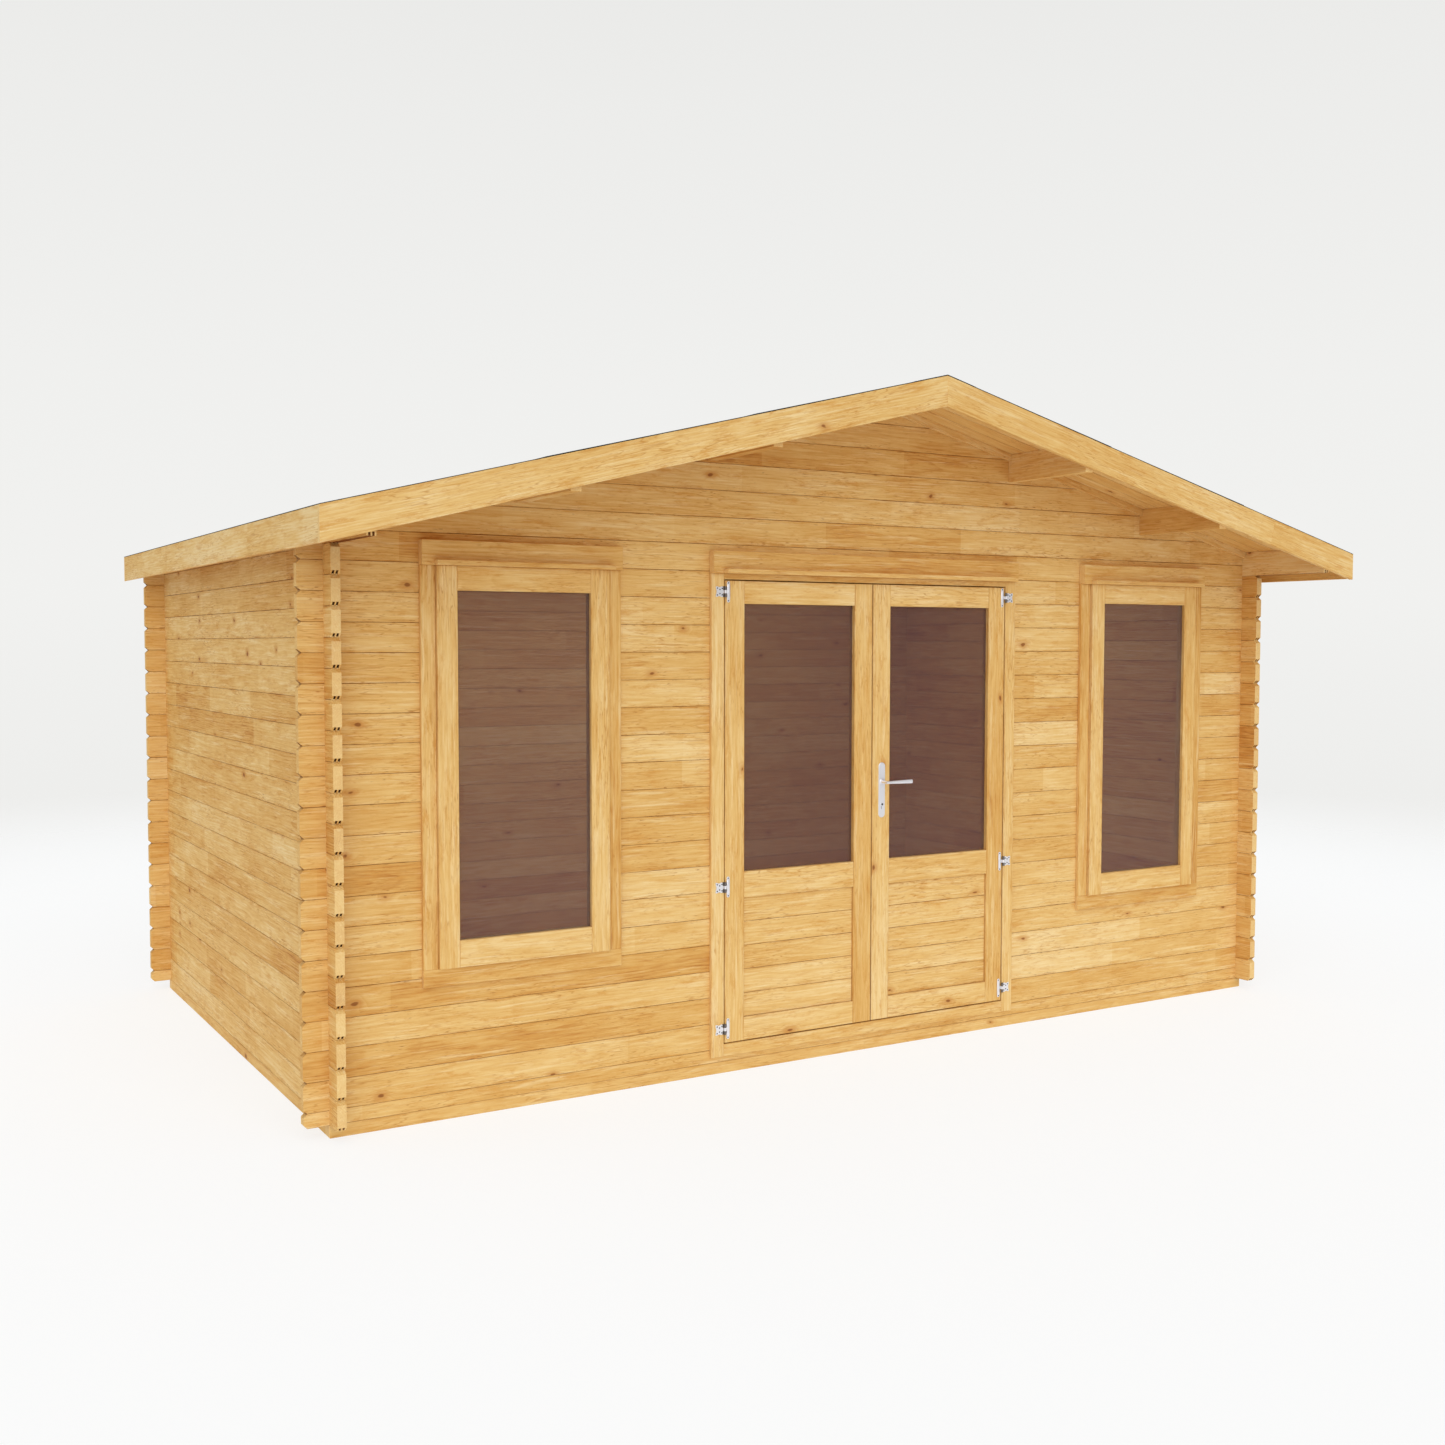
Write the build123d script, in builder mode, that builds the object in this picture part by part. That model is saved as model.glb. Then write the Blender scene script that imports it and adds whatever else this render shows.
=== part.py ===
from build123d import *
from math import cos, radians, sin, tan
import os

os.makedirs("parts", exist_ok=True)

# A garden log cabin of planed logs under an apex roof, gable to the front, +Z up, in millimetres.
# The origin is on the ground, in the middle of the roof's plan. The front faces -Y.

# Walls, measured over the outer faces of the logs
WALL_WIDTH = 4812.0
WALL_DEPTH = 2824.0
LOG_THICKNESS = 34.0
COURSE = 110.0
SIDE_COURSES = 19
LOG_RUN_ON = 94.0
END_CHAMFER = 14.0
JOINT_CHAMFER = 3.0
LOG_GAP = 0.4
EAVES_LOG_HEIGHT = 114.0

# Base
BEARER_HEIGHT = 48.0
BEARER_WIDTH = 58.0
JOIST_COUNT = 7
FLOOR_THICKNESS = 18.0

# Roof
PITCH = 14.0
FRONT_OVERHANG = 513.0
REAR_OVERHANG = 155.0
SIDE_OVERHANG = 159.0
ROOF_BOARD = 18.0
FELT = 3.0
BARGE_WIDTH = 120.0
BARGE_THICKNESS = 20.0
FASCIA_HEIGHT = 120.0
PURLIN_WIDTH = 44.0
PURLIN_DEPTH = 120.0
UPPER_PURLIN = 804.0
MID_PURLIN = 1650.0
GABLE_TRIM_DEPTH = 30.0
GABLE_TRIM_THICKNESS = 20.0

# Openings, in courses of the front wall above its half log
WINDOW_SILL_COURSE = 4
HEAD_COURSE = 18

# Windows
WINDOW_WIDTH = 822.0
WINDOW_FROM_CORNER = 353.0
TRIM_LAP = 28.0
WINDOW_TRIM = 57.0
TRIM_THICKNESS = 18.0
LINER_PAST_WALL = 18.0
SASH_STILE = 81.0
SASH_TOP_RAIL = 92.0
SASH_BOTTOM_RAIL = 102.0
SASH_PROUD = 34.0
SASH_THICKNESS = 48.0
SILL_BOARD = 67.0
GLASS = 4.0
GLASS_SETBACK = 10.0

# Head boards and the drip ledges under them
HEAD_BOARD = 83.0
HEAD_THICKNESS = 38.0
LEDGE_THICKNESS = 18.0
LEDGE_PROJECTION = 72.0
LEDGE_INSET = 47.0
HEAD_BELOW_COURSE = 9.0

# Double door
DOOR_WIDTH = 1632.0
DOOR_TRIM = 60.0
DOOR_GAP = 5.0
LEAF_THICKNESS = 40.0
LEAF_SETBACK = 2.0
LEAF_STILE = 94.0
LEAF_TOP_RAIL = 94.0
LEAF_MID_RAIL = 110.0
LEAF_BOTTOM_RAIL = 97.0
LEAF_PANEL_HEIGHT = 503.0
PANEL_THICKNESS = 20.0
PANEL_SETBACK = 10.0
HEAD_LINER = 32.0
STOP_DEPTH = 15.0
STOP_THICKNESS = 18.0
THRESHOLD_HEIGHT = 51.0
THRESHOLD_BED = 26.0

# Door furniture
HINGE_HEIGHTS = (189.0, 782.0, 2000.0)
HINGE_PLATE = 2.5
BARREL_RADIUS = 5.0
BARREL_LENGTH = 44.0
BARREL_SIDES = 8
BARREL_STAND_OFF = 0.4
KNUCKLE_GAP = 0.3
PLATE_CLEARANCE = 1.5
FRAME_LEAF_WIDTH = 44.0
FRAME_LEAF_WAIST = 20.0
DOOR_PLATE_WIDTH = 22.0
DOOR_PLATE_HEIGHT = 87.0
PLATE_END_SIDES = 6
HANDLE_HEIGHT = 1147.0
HANDLE_PLATE_HEIGHT = 243.0
HANDLE_PLATE_WIDTH = 35.0
HANDLE_PLATE_THICKNESS = 3.0
HANDLE_FROM_EDGE = 50.0
LEVER_ABOVE_MIDDLE = 35.0
KEYHOLE_BELOW_MIDDLE = 64.0
KEYHOLE_RADIUS = 5.0
SPINDLE_RADIUS = 9.0
SPINDLE_LENGTH = 42.0
LEVER_LENGTH = 130.0
LEVER_DEPTH = 18.0
LEVER_THICKNESS = 12.0

# Places worked out from the sizes above
half_width = WALL_WIDTH / 2
roof_length = FRONT_OVERHANG + WALL_DEPTH + REAR_OVERHANG
roof_front = -roof_length / 2
roof_rear = roof_length / 2
front_face = roof_front + FRONT_OVERHANG
rear_face = front_face + WALL_DEPTH
front_inner = front_face + LOG_THICKNESS
rear_inner = rear_face - LOG_THICKNESS
side_inner = half_width - LOG_THICKNESS
log_tip_x = half_width + LOG_RUN_ON
log_tip_front = front_face - LOG_RUN_ON
log_tip_rear = rear_face + LOG_RUN_ON
half_course = COURSE / 2
lap = COURSE / 4
first_joint = BEARER_HEIGHT + half_course
side_top = BEARER_HEIGHT + SIDE_COURSES * COURSE
slope = tan(radians(PITCH))
eaves_underside = side_top + EAVES_LOG_HEIGHT
ridge_underside = eaves_underside + half_width * slope
roof_half_span = half_width + SIDE_OVERHANG
board_half_span = roof_half_span - BARGE_THICKNESS
board_rise = ROOF_BOARD / cos(radians(PITCH))
felt_rise = FELT / cos(radians(PITCH))
barge_drop = BARGE_WIDTH / cos(radians(PITCH))
timber_front = roof_front + BARGE_THICKNESS
timber_rear = roof_rear - BARGE_THICKNESS
gable_courses = int((ridge_underside - first_joint) // COURSE) + 1
head_joint = first_joint + HEAD_COURSE * COURSE
sill_joint = first_joint + WINDOW_SILL_COURSE * COURSE


def underside(x):
    return ridge_underside - abs(x) * slope


# Log work: an elevation outline, cut to the notches, meets the planed section of the courses
def front_course(course):
    bottom = first_joint + course * COURSE
    return bottom, bottom + COURSE


def side_course(course):
    bottom = BEARER_HEIGHT + course * COURSE
    return bottom, bottom + COURSE


def log_outline(start, end, bottom, top, crossings, chamfered, foot_notch=True, head_notch=True):
    low = bottom + LOG_GAP / 2
    high = top - LOG_GAP / 2
    cut_start = END_CHAMFER if chamfered[0] else 0.0
    cut_end = END_CHAMFER if chamfered[1] else 0.0
    points = [(start, low + cut_start), (start + cut_start, low)]
    for near, far in crossings:
        if foot_notch:
            points += [(near, low), (near, bottom + lap), (far, bottom + lap), (far, low)]
    points += [(end - cut_end, low), (end, low + cut_end)]
    points += [(end, high - cut_end), (end - cut_end, high)]
    for near, far in reversed(crossings):
        if head_notch:
            points += [(far, high), (far, top - lap), (near, top - lap), (near, high)]
    points += [(start + cut_start, high), (start, high - cut_start)]
    return [p for p, q in zip(points, points[1:] + points[:1]) if p != q]


def log_section(face, inner, bottom, top):
    low = bottom + LOG_GAP / 2
    high = top - LOG_GAP / 2
    step = JOINT_CHAMFER if inner > face else -JOINT_CHAMFER
    return [
        (face, low + JOINT_CHAMFER),
        (face + step, low),
        (inner, low),
        (inner, high),
        (face + step, high),
        (face, high - JOINT_CHAMFER),
    ]


def outline(points, mode=Mode.ADD):
    Polygon(*points, align=None, mode=mode)


side_crossings = [(-half_width, -side_inner), (side_inner, half_width)]
end_crossings = [(front_face, front_inner), (rear_inner, rear_face)]
roof_line = [
    (-roof_half_span, 0),
    (roof_half_span, 0),
    (roof_half_span, underside(roof_half_span)),
    (0, ridge_underside),
    (-roof_half_span, underside(roof_half_span)),
]
purlin_places = [-MID_PURLIN, -UPPER_PURLIN, UPPER_PURLIN, MID_PURLIN]


def purlin_bottom(x):
    return underside(x) - PURLIN_DEPTH


# Base of bearers, joists and floor
with BuildPart() as bearers_front_rear:
    with BuildSketch(Plane.XY):
        with Locations((0, front_face + BEARER_WIDTH / 2), (0, rear_face - BEARER_WIDTH / 2)):
            Rectangle(WALL_WIDTH, BEARER_WIDTH)
    extrude(amount=BEARER_HEIGHT)
bearers_front_rear.part.label = "bearers_front_rear"
export_step(bearers_front_rear.part, "parts/bearers_front_rear.step")

joist_pitch = (WALL_WIDTH - BEARER_WIDTH) / (JOIST_COUNT + 1)
wall_middle = (front_face + rear_face) / 2
with BuildPart() as bearers_side_joists:
    with BuildSketch(Plane.XY):
        with Locations((0, wall_middle)):
            with GridLocations(joist_pitch, 0, JOIST_COUNT + 2, 1):
                Rectangle(BEARER_WIDTH, WALL_DEPTH - 2 * BEARER_WIDTH)
    extrude(amount=BEARER_HEIGHT)
bearers_side_joists.part.label = "bearers_side_joists"
export_step(bearers_side_joists.part, "parts/bearers_side_joists.step")

with BuildPart() as floor:
    with BuildSketch(Plane.XY.offset(BEARER_HEIGHT)):
        with Locations((0, wall_middle)):
            Rectangle(2 * side_inner, WALL_DEPTH - 2 * LOG_THICKNESS)
    extrude(amount=FLOOR_THICKNESS)
floor.part.label = "floor"
export_step(floor.part, "parts/floor.step")

# Side walls, each course a full log from front tip to rear tip
for side, name in ((-1, "wall_left"), (1, "wall_right")):
    with BuildPart() as side_wall:
        with BuildSketch(Plane.YZ.offset(side * half_width)):
            for course in range(SIDE_COURSES):
                bottom, top = side_course(course)
                outline(log_outline(log_tip_front, log_tip_rear, bottom, top, end_crossings, (True, True)))
        extrude(amount=-side * LOG_THICKNESS)
        with BuildSketch(Plane.XZ):
            for course in range(SIDE_COURSES):
                bottom, top = side_course(course)
                outline(log_section(side * half_width, side * side_inner, bottom, top))
        extrude(amount=roof_length, both=True, mode=Mode.INTERSECT)
    side_wall.part.label = name
    export_step(side_wall.part, f"parts/{name}.step")

# Eaves logs, the top course of each side wall, which run on to carry both overhangs
eaves_notch = side_top + half_course + lap
for side, name in ((-1, "eaves_log_left"), (1, "eaves_log_right")):
    with BuildPart() as eaves_log:
        with BuildSketch(Plane.YZ.offset(side * half_width)):
            foot = side_top + LOG_GAP / 2
            head = ridge_underside
            points = [(timber_front, foot)]
            for near, far in end_crossings:
                points += [(near, foot), (near, side_top + lap), (far, side_top + lap), (far, foot)]
            points += [(timber_rear, foot), (timber_rear, head)]
            for near, far in reversed(end_crossings):
                points += [(far, head), (far, eaves_notch), (near, eaves_notch), (near, head)]
            points += [(timber_front, head)]
            outline(points)
        extrude(amount=-side * LOG_THICKNESS)
        with BuildSketch(Plane.XZ):
            outline(
                [
                    (side * half_width, foot + JOINT_CHAMFER),
                    (side * (half_width - JOINT_CHAMFER), foot),
                    (side * (side_inner + JOINT_CHAMFER), foot),
                    (side * side_inner, foot + JOINT_CHAMFER),
                    (side * side_inner, underside(side_inner)),
                    (side * half_width, underside(half_width)),
                ]
            )
        extrude(amount=roof_length, both=True, mode=Mode.INTERSECT)
    eaves_log.part.label = name
    export_step(eaves_log.part, f"parts/{name}.step")


def gable_cut():
    outline(roof_line, Mode.INTERSECT)
    for place in purlin_places:
        with Locations((place, purlin_bottom(place))):
            Rectangle(PURLIN_WIDTH, COURSE * 2, align=(Align.CENTER, Align.MIN), mode=Mode.SUBTRACT)


def long_log(bottom, top, foot_notch=True, head_notch=True):
    ends = (True, True)
    outline(log_outline(-log_tip_x, log_tip_x, bottom, top, side_crossings, ends, foot_notch, head_notch))


def gable_log(course):
    bottom, top = front_course(course)
    long_log(bottom, top, foot_notch=bottom < eaves_notch, head_notch=bottom < side_top)


# Rear wall, a half log and then full courses up to the ridge
with BuildPart() as wall_rear:
    with BuildSketch(Plane.XZ.offset(-rear_face)):
        long_log(BEARER_HEIGHT, first_joint, foot_notch=False)
        for course in range(gable_courses):
            gable_log(course)
        gable_cut()
    extrude(amount=LOG_THICKNESS)
    with BuildSketch(Plane.YZ):
        outline(log_section(rear_face, rear_inner, BEARER_HEIGHT, first_joint))
        for course in range(gable_courses):
            outline(log_section(rear_face, rear_inner, *front_course(course)))
    extrude(amount=log_tip_x, both=True, mode=Mode.INTERSECT)
wall_rear.part.label = "wall_rear"
export_step(wall_rear.part, "parts/wall_rear.step")

# Front wall, cut for two windows and the double door
door_opening = DOOR_WIDTH / 2 - TRIM_LAP
window_outer = half_width - WINDOW_FROM_CORNER
window_centre = window_outer - WINDOW_WIDTH / 2
window_opening_outer = window_outer - TRIM_LAP
window_opening_inner = window_outer - WINDOW_WIDTH + TRIM_LAP
threshold_foot = BEARER_HEIGHT + THRESHOLD_BED

with BuildPart() as front_half_log:
    with BuildSketch(Plane.XZ.offset(-front_face)):
        long_log(BEARER_HEIGHT, first_joint, foot_notch=False)
        with Locations((0, threshold_foot)):
            Rectangle(2 * door_opening, COURSE, align=(Align.CENTER, Align.MIN), mode=Mode.SUBTRACT)
    extrude(amount=-LOG_THICKNESS)
    with BuildSketch(Plane.YZ):
        outline(log_section(front_face, front_inner, BEARER_HEIGHT, first_joint))
    extrude(amount=log_tip_x, both=True, mode=Mode.INTERSECT)
front_half_log.part.label = "front_half_log"
export_step(front_half_log.part, "parts/front_half_log.step")

front_parts = (
    ("front_low", log_tip_x, door_opening, 0, WINDOW_SILL_COURSE),
    ("front_corner", log_tip_x, window_opening_outer, WINDOW_SILL_COURSE, HEAD_COURSE),
    ("front_pier", window_opening_inner, door_opening, WINDOW_SILL_COURSE, HEAD_COURSE),
)
for stem, outer_end, inner_end, first, last in front_parts:
    has_corner = outer_end == log_tip_x
    for side, suffix in ((-1, "left"), (1, "right")):
        start, end = sorted((side * outer_end, side * inner_end))
        crossings = [side_crossings[0 if side < 0 else 1]] if has_corner else []
        chamfered = (has_corner and side < 0, has_corner and side > 0)
        with BuildPart() as front_part:
            with BuildSketch(Plane.XZ.offset(-front_face)):
                for course in range(first, last):
                    bottom, top = front_course(course)
                    outline(log_outline(start, end, bottom, top, crossings, chamfered))
            extrude(amount=-LOG_THICKNESS)
            with BuildSketch(Plane.YZ):
                for course in range(first, last):
                    outline(log_section(front_face, front_inner, *front_course(course)))
            extrude(amount=log_tip_x, both=True, mode=Mode.INTERSECT)
        front_part.part.label = f"{stem}_{suffix}"
        export_step(front_part.part, f"parts/{stem}_{suffix}.step")

with BuildPart() as front_gable:
    with BuildSketch(Plane.XZ.offset(-front_face)):
        for course in range(HEAD_COURSE, gable_courses):
            gable_log(course)
        gable_cut()
    extrude(amount=-LOG_THICKNESS)
    with BuildSketch(Plane.YZ):
        for course in range(HEAD_COURSE, gable_courses):
            outline(log_section(front_face, front_inner, *front_course(course)))
    extrude(amount=log_tip_x, both=True, mode=Mode.INTERSECT)
front_gable.part.label = "front_gable"
export_step(front_gable.part, "parts/front_gable.step")

# Roof timbers
for side, suffix in ((-1, "left"), (1, "right")):
    with BuildPart() as purlins:
        with BuildSketch(Plane.XZ.offset(-timber_front)):
            for place in (UPPER_PURLIN, MID_PURLIN):
                inner_x = place - PURLIN_WIDTH / 2
                outer_x = place + PURLIN_WIDTH / 2
                outline(
                    [
                        (side * inner_x, purlin_bottom(place)),
                        (side * outer_x, purlin_bottom(place)),
                        (side * outer_x, underside(outer_x)),
                        (side * inner_x, underside(inner_x)),
                    ]
                )
        extrude(amount=timber_front - timber_rear)
    purlins.part.label = f"purlins_{suffix}"
    export_step(purlins.part, f"parts/purlins_{suffix}.step")

    with BuildPart() as roof_boards:
        with BuildSketch(Plane.XZ.offset(-timber_front)):
            outline(
                [
                    (0, ridge_underside),
                    (side * board_half_span, underside(board_half_span)),
                    (side * board_half_span, underside(board_half_span) + board_rise),
                    (0, ridge_underside + board_rise),
                ]
            )
        extrude(amount=timber_front - timber_rear)
    roof_boards.part.label = f"roof_boards_{suffix}"
    export_step(roof_boards.part, f"parts/roof_boards_{suffix}.step")

    with BuildPart() as fascia:
        with BuildSketch(Plane.XZ.offset(-timber_front)):
            fascia_top = underside(roof_half_span) + board_rise
            outline(
                [
                    (side * board_half_span, fascia_top - FASCIA_HEIGHT),
                    (side * roof_half_span, fascia_top - FASCIA_HEIGHT),
                    (side * roof_half_span, fascia_top),
                    (side * board_half_span, underside(board_half_span) + board_rise),
                ]
            )
        extrude(amount=timber_front - timber_rear)
    fascia.part.label = f"fascia_{suffix}"
    export_step(fascia.part, f"parts/fascia_{suffix}.step")

    for end, end_name, place in ((1, "front", -roof_front), (-1, "rear", -roof_rear)):
        with BuildPart() as bargeboard:
            with BuildSketch(Plane.XZ.offset(place)):
                outline(
                    [
                        (0, ridge_underside + board_rise),
                        (side * roof_half_span, underside(roof_half_span) + board_rise),
                        (side * roof_half_span, underside(roof_half_span) + board_rise - barge_drop),
                        (0, ridge_underside + board_rise - barge_drop),
                    ]
                )
            extrude(amount=-end * BARGE_THICKNESS)
        bargeboard.part.label = f"bargeboard_{end_name}_{suffix}"
        export_step(bargeboard.part, f"parts/bargeboard_{end_name}_{suffix}.step")

with BuildPart() as roof_felt:
    with BuildSketch(Plane.XZ.offset(-roof_front)):
        outline(
            [
                (-roof_half_span, underside(roof_half_span) + board_rise),
                (0, ridge_underside + board_rise),
                (roof_half_span, underside(roof_half_span) + board_rise),
                (roof_half_span, underside(roof_half_span) + board_rise + felt_rise),
                (0, ridge_underside + board_rise + felt_rise),
                (-roof_half_span, underside(roof_half_span) + board_rise + felt_rise),
            ]
        )
    extrude(amount=-roof_length)
roof_felt.part.label = "roof_felt"
export_step(roof_felt.part, "parts/roof_felt.step")

with BuildPart() as gable_trims:
    with BuildSketch(Plane.XZ.offset(-front_face + GABLE_TRIM_THICKNESS)):
        outline(
            [
                (-side_inner, underside(side_inner)),
                (-side_inner, underside(side_inner) - GABLE_TRIM_DEPTH),
                (0, ridge_underside - GABLE_TRIM_DEPTH),
                (side_inner, underside(side_inner) - GABLE_TRIM_DEPTH),
                (side_inner, underside(side_inner)),
                (0, ridge_underside),
            ]
        )
        for place in purlin_places:
            with Locations((place, purlin_bottom(place))):
                Rectangle(PURLIN_WIDTH, COURSE * 2, align=(Align.CENTER, Align.MIN), mode=Mode.SUBTRACT)
    extrude(amount=-GABLE_TRIM_THICKNESS)
gable_trims.part.label = "gable_trims"
export_step(gable_trims.part, "parts/gable_trims.step")

# Windows: a lined and trimmed frame with its head board, ledge and sill board, a fixed sash and glass
head_foot = head_joint - HEAD_BELOW_COURSE + LEDGE_THICKNESS
head_top = head_joint - HEAD_BELOW_COURSE + HEAD_BOARD + LEDGE_THICKNESS / 2
ledge_foot = head_joint - HEAD_BELOW_COURSE
sill_top = sill_joint + SILL_BOARD / 2
sill_foot = sill_top - SILL_BOARD
sash_width = WINDOW_WIDTH - 2 * WINDOW_TRIM
sash_height = ledge_foot - sill_top
pane_width = sash_width - 2 * SASH_STILE
pane_height = sash_height - SASH_TOP_RAIL - SASH_BOTTOM_RAIL
pane_foot = sill_top + SASH_BOTTOM_RAIL
sash_face = front_face - SASH_PROUD
low = (Align.CENTER, Align.MIN)

for side, suffix in ((-1, "left"), (1, "right")):
    centre = side * window_centre
    with BuildPart() as window_frame:
        with BuildSketch(Plane.XZ.offset(-front_face)):
            with Locations((centre, sill_joint)):
                Rectangle(WINDOW_WIDTH - 2 * TRIM_LAP, head_joint - sill_joint, align=low)
            with Locations((centre, sill_top)):
                Rectangle(sash_width, sash_height, align=low, mode=Mode.SUBTRACT)
        extrude(amount=-(LOG_THICKNESS + LINER_PAST_WALL))
        with BuildSketch(Plane.XZ.offset(-front_face)):
            with Locations((centre, sill_foot)):
                Rectangle(WINDOW_WIDTH, head_foot - sill_foot, align=low)
            with Locations((centre, sill_top)):
                Rectangle(sash_width, sash_height, align=low, mode=Mode.SUBTRACT)
        extrude(amount=TRIM_THICKNESS)
        with BuildSketch(Plane.XZ.offset(-front_face)):
            with Locations((centre, ledge_foot)):
                Rectangle(WINDOW_WIDTH, head_top - ledge_foot, align=low)
        extrude(amount=HEAD_THICKNESS)
        with BuildSketch(Plane.XZ.offset(-front_face)):
            with Locations((centre, ledge_foot)):
                Rectangle(WINDOW_WIDTH - 2 * LEDGE_INSET, LEDGE_THICKNESS, align=low)
        extrude(amount=LEDGE_PROJECTION)
    window_frame.part.label = f"window_frame_{suffix}"
    export_step(window_frame.part, f"parts/window_frame_{suffix}.step")

    with BuildPart() as window_sash:
        with BuildSketch(Plane.XZ.offset(-sash_face)):
            with Locations((centre, sill_top)):
                Rectangle(sash_width, sash_height, align=low)
            with Locations((centre, pane_foot)):
                Rectangle(pane_width, pane_height, align=low, mode=Mode.SUBTRACT)
        extrude(amount=-SASH_THICKNESS)
    window_sash.part.label = f"window_sash_{suffix}"
    export_step(window_sash.part, f"parts/window_sash_{suffix}.step")

    with BuildPart() as window_glass:
        with BuildSketch(Plane.XZ.offset(-sash_face - GLASS_SETBACK)):
            with Locations((centre, pane_foot)):
                Rectangle(pane_width, pane_height, align=low)
        extrude(amount=-GLASS)
    window_glass.part.label = f"window_glass_{suffix}"
    export_step(window_glass.part, f"parts/window_glass_{suffix}.step")

# Door frame: lined jambs and head with stops, face trims, head board and drip ledge
leaf_side = DOOR_WIDTH / 2 - DOOR_TRIM
leaf_head = head_joint - HEAD_LINER
leaf_top = leaf_head - DOOR_GAP
threshold_top = threshold_foot + THRESHOLD_HEIGHT
leaf_foot = threshold_top + DOOR_GAP
leaf_face = front_face - TRIM_THICKNESS + LEAF_SETBACK
leaf_back = leaf_face + LEAF_THICKNESS
stop_face = leaf_back + DOOR_GAP
frame_back = front_inner + LINER_PAST_WALL

with BuildPart() as door_frame:
    with BuildSketch(Plane.XZ.offset(-front_face)):
        with Locations((0, threshold_top)):
            Rectangle(2 * door_opening, head_joint - threshold_top, align=low)
        with Locations((0, threshold_top)):
            Rectangle(2 * leaf_side, leaf_head - threshold_top, align=low, mode=Mode.SUBTRACT)
    extrude(amount=front_face - frame_back)
    with BuildSketch(Plane.XZ.offset(-stop_face)):
        with Locations((0, threshold_top)):
            Rectangle(2 * leaf_side, leaf_head - threshold_top, align=low)
        with Locations((0, threshold_top)):
            Rectangle(
                2 * (leaf_side - STOP_DEPTH),
                leaf_head - STOP_DEPTH - threshold_top,
                align=low,
                mode=Mode.SUBTRACT,
            )
    extrude(amount=-STOP_THICKNESS)
door_frame.part.label = "door_frame"
export_step(door_frame.part, "parts/door_frame.step")

with BuildPart() as door_trims:
    with BuildSketch(Plane.XZ.offset(-front_face)):
        with Locations((0, threshold_foot)):
            Rectangle(DOOR_WIDTH, ledge_foot - threshold_foot, align=low)
        with Locations((0, threshold_foot)):
            Rectangle(2 * leaf_side, leaf_head - threshold_foot, align=low, mode=Mode.SUBTRACT)
    extrude(amount=TRIM_THICKNESS)
door_trims.part.label = "door_trims"
export_step(door_trims.part, "parts/door_trims.step")

with BuildPart() as door_head:
    with BuildSketch(Plane.XZ.offset(-front_face)):
        with Locations((0, ledge_foot)):
            Rectangle(DOOR_WIDTH, head_top - ledge_foot, align=low)
    extrude(amount=HEAD_THICKNESS)
    with BuildSketch(Plane.XZ.offset(-front_face)):
        with Locations((0, ledge_foot)):
            Rectangle(DOOR_WIDTH - 2 * LEDGE_INSET, LEDGE_THICKNESS, align=low)
    extrude(amount=LEDGE_PROJECTION)
door_head.part.label = "door_head"
export_step(door_head.part, "parts/door_head.step")

with BuildPart() as door_threshold:
    with BuildSketch(Plane.YZ):
        outline(
            [
                (front_face - TRIM_THICKNESS, threshold_foot),
                (frame_back, threshold_foot),
                (frame_back, threshold_top),
                (front_face - TRIM_THICKNESS, threshold_top),
            ]
        )
    extrude(amount=leaf_side, both=True)
    with BuildSketch(Plane.YZ):
        outline(
            [
                (front_face, threshold_foot),
                (front_inner, threshold_foot),
                (front_inner, threshold_top),
                (front_face, threshold_top),
            ]
        )
    extrude(amount=door_opening, both=True)
door_threshold.part.label = "door_threshold"
export_step(door_threshold.part, "parts/door_threshold.step")

# Door leaves
leaf_width = leaf_side - 1.5 * DOOR_GAP
leaf_height = leaf_top - leaf_foot
leaf_centre = DOOR_GAP / 2 + leaf_width / 2
light_width = leaf_width - 2 * LEAF_STILE
panel_foot = leaf_foot + LEAF_BOTTOM_RAIL
light_foot = panel_foot + LEAF_PANEL_HEIGHT + LEAF_MID_RAIL
light_height = leaf_top - LEAF_TOP_RAIL - light_foot

for side, suffix in ((-1, "left"), (1, "right")):
    centre = side * leaf_centre
    with BuildPart() as leaf_frame:
        with BuildSketch(Plane.XZ.offset(-leaf_face)):
            with Locations((centre, leaf_foot)):
                Rectangle(leaf_width, leaf_height, align=low)
            with Locations((centre, panel_foot)):
                Rectangle(light_width, LEAF_PANEL_HEIGHT, align=low, mode=Mode.SUBTRACT)
            with Locations((centre, light_foot)):
                Rectangle(light_width, light_height, align=low, mode=Mode.SUBTRACT)
        extrude(amount=-LEAF_THICKNESS)
    leaf_frame.part.label = f"door_leaf_{suffix}"
    export_step(leaf_frame.part, f"parts/door_leaf_{suffix}.step")

    with BuildPart() as leaf_panel:
        with BuildSketch(Plane.XZ.offset(-leaf_face - PANEL_SETBACK)):
            with Locations((centre, panel_foot)):
                Rectangle(light_width, LEAF_PANEL_HEIGHT, align=low)
        extrude(amount=-PANEL_THICKNESS)
    leaf_panel.part.label = f"door_panel_{suffix}"
    export_step(leaf_panel.part, f"parts/door_panel_{suffix}.step")

    with BuildPart() as leaf_glass:
        with BuildSketch(Plane.XZ.offset(-leaf_face - GLASS_SETBACK)):
            with Locations((centre, light_foot)):
                Rectangle(light_width, light_height, align=low)
        extrude(amount=-GLASS)
    leaf_glass.part.label = f"door_glass_{suffix}"
    export_step(leaf_glass.part, f"parts/door_glass_{suffix}.step")

# Hinges: a waisted leaf with two knuckles on the frame trim, and a long plate with the middle one
trim_face = front_face - TRIM_THICKNESS
barrel_y = trim_face - BARREL_RADIUS - BARREL_STAND_OFF
hinge_x = leaf_side - DOOR_GAP / 2
knuckle = BARREL_LENGTH / 3


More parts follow.
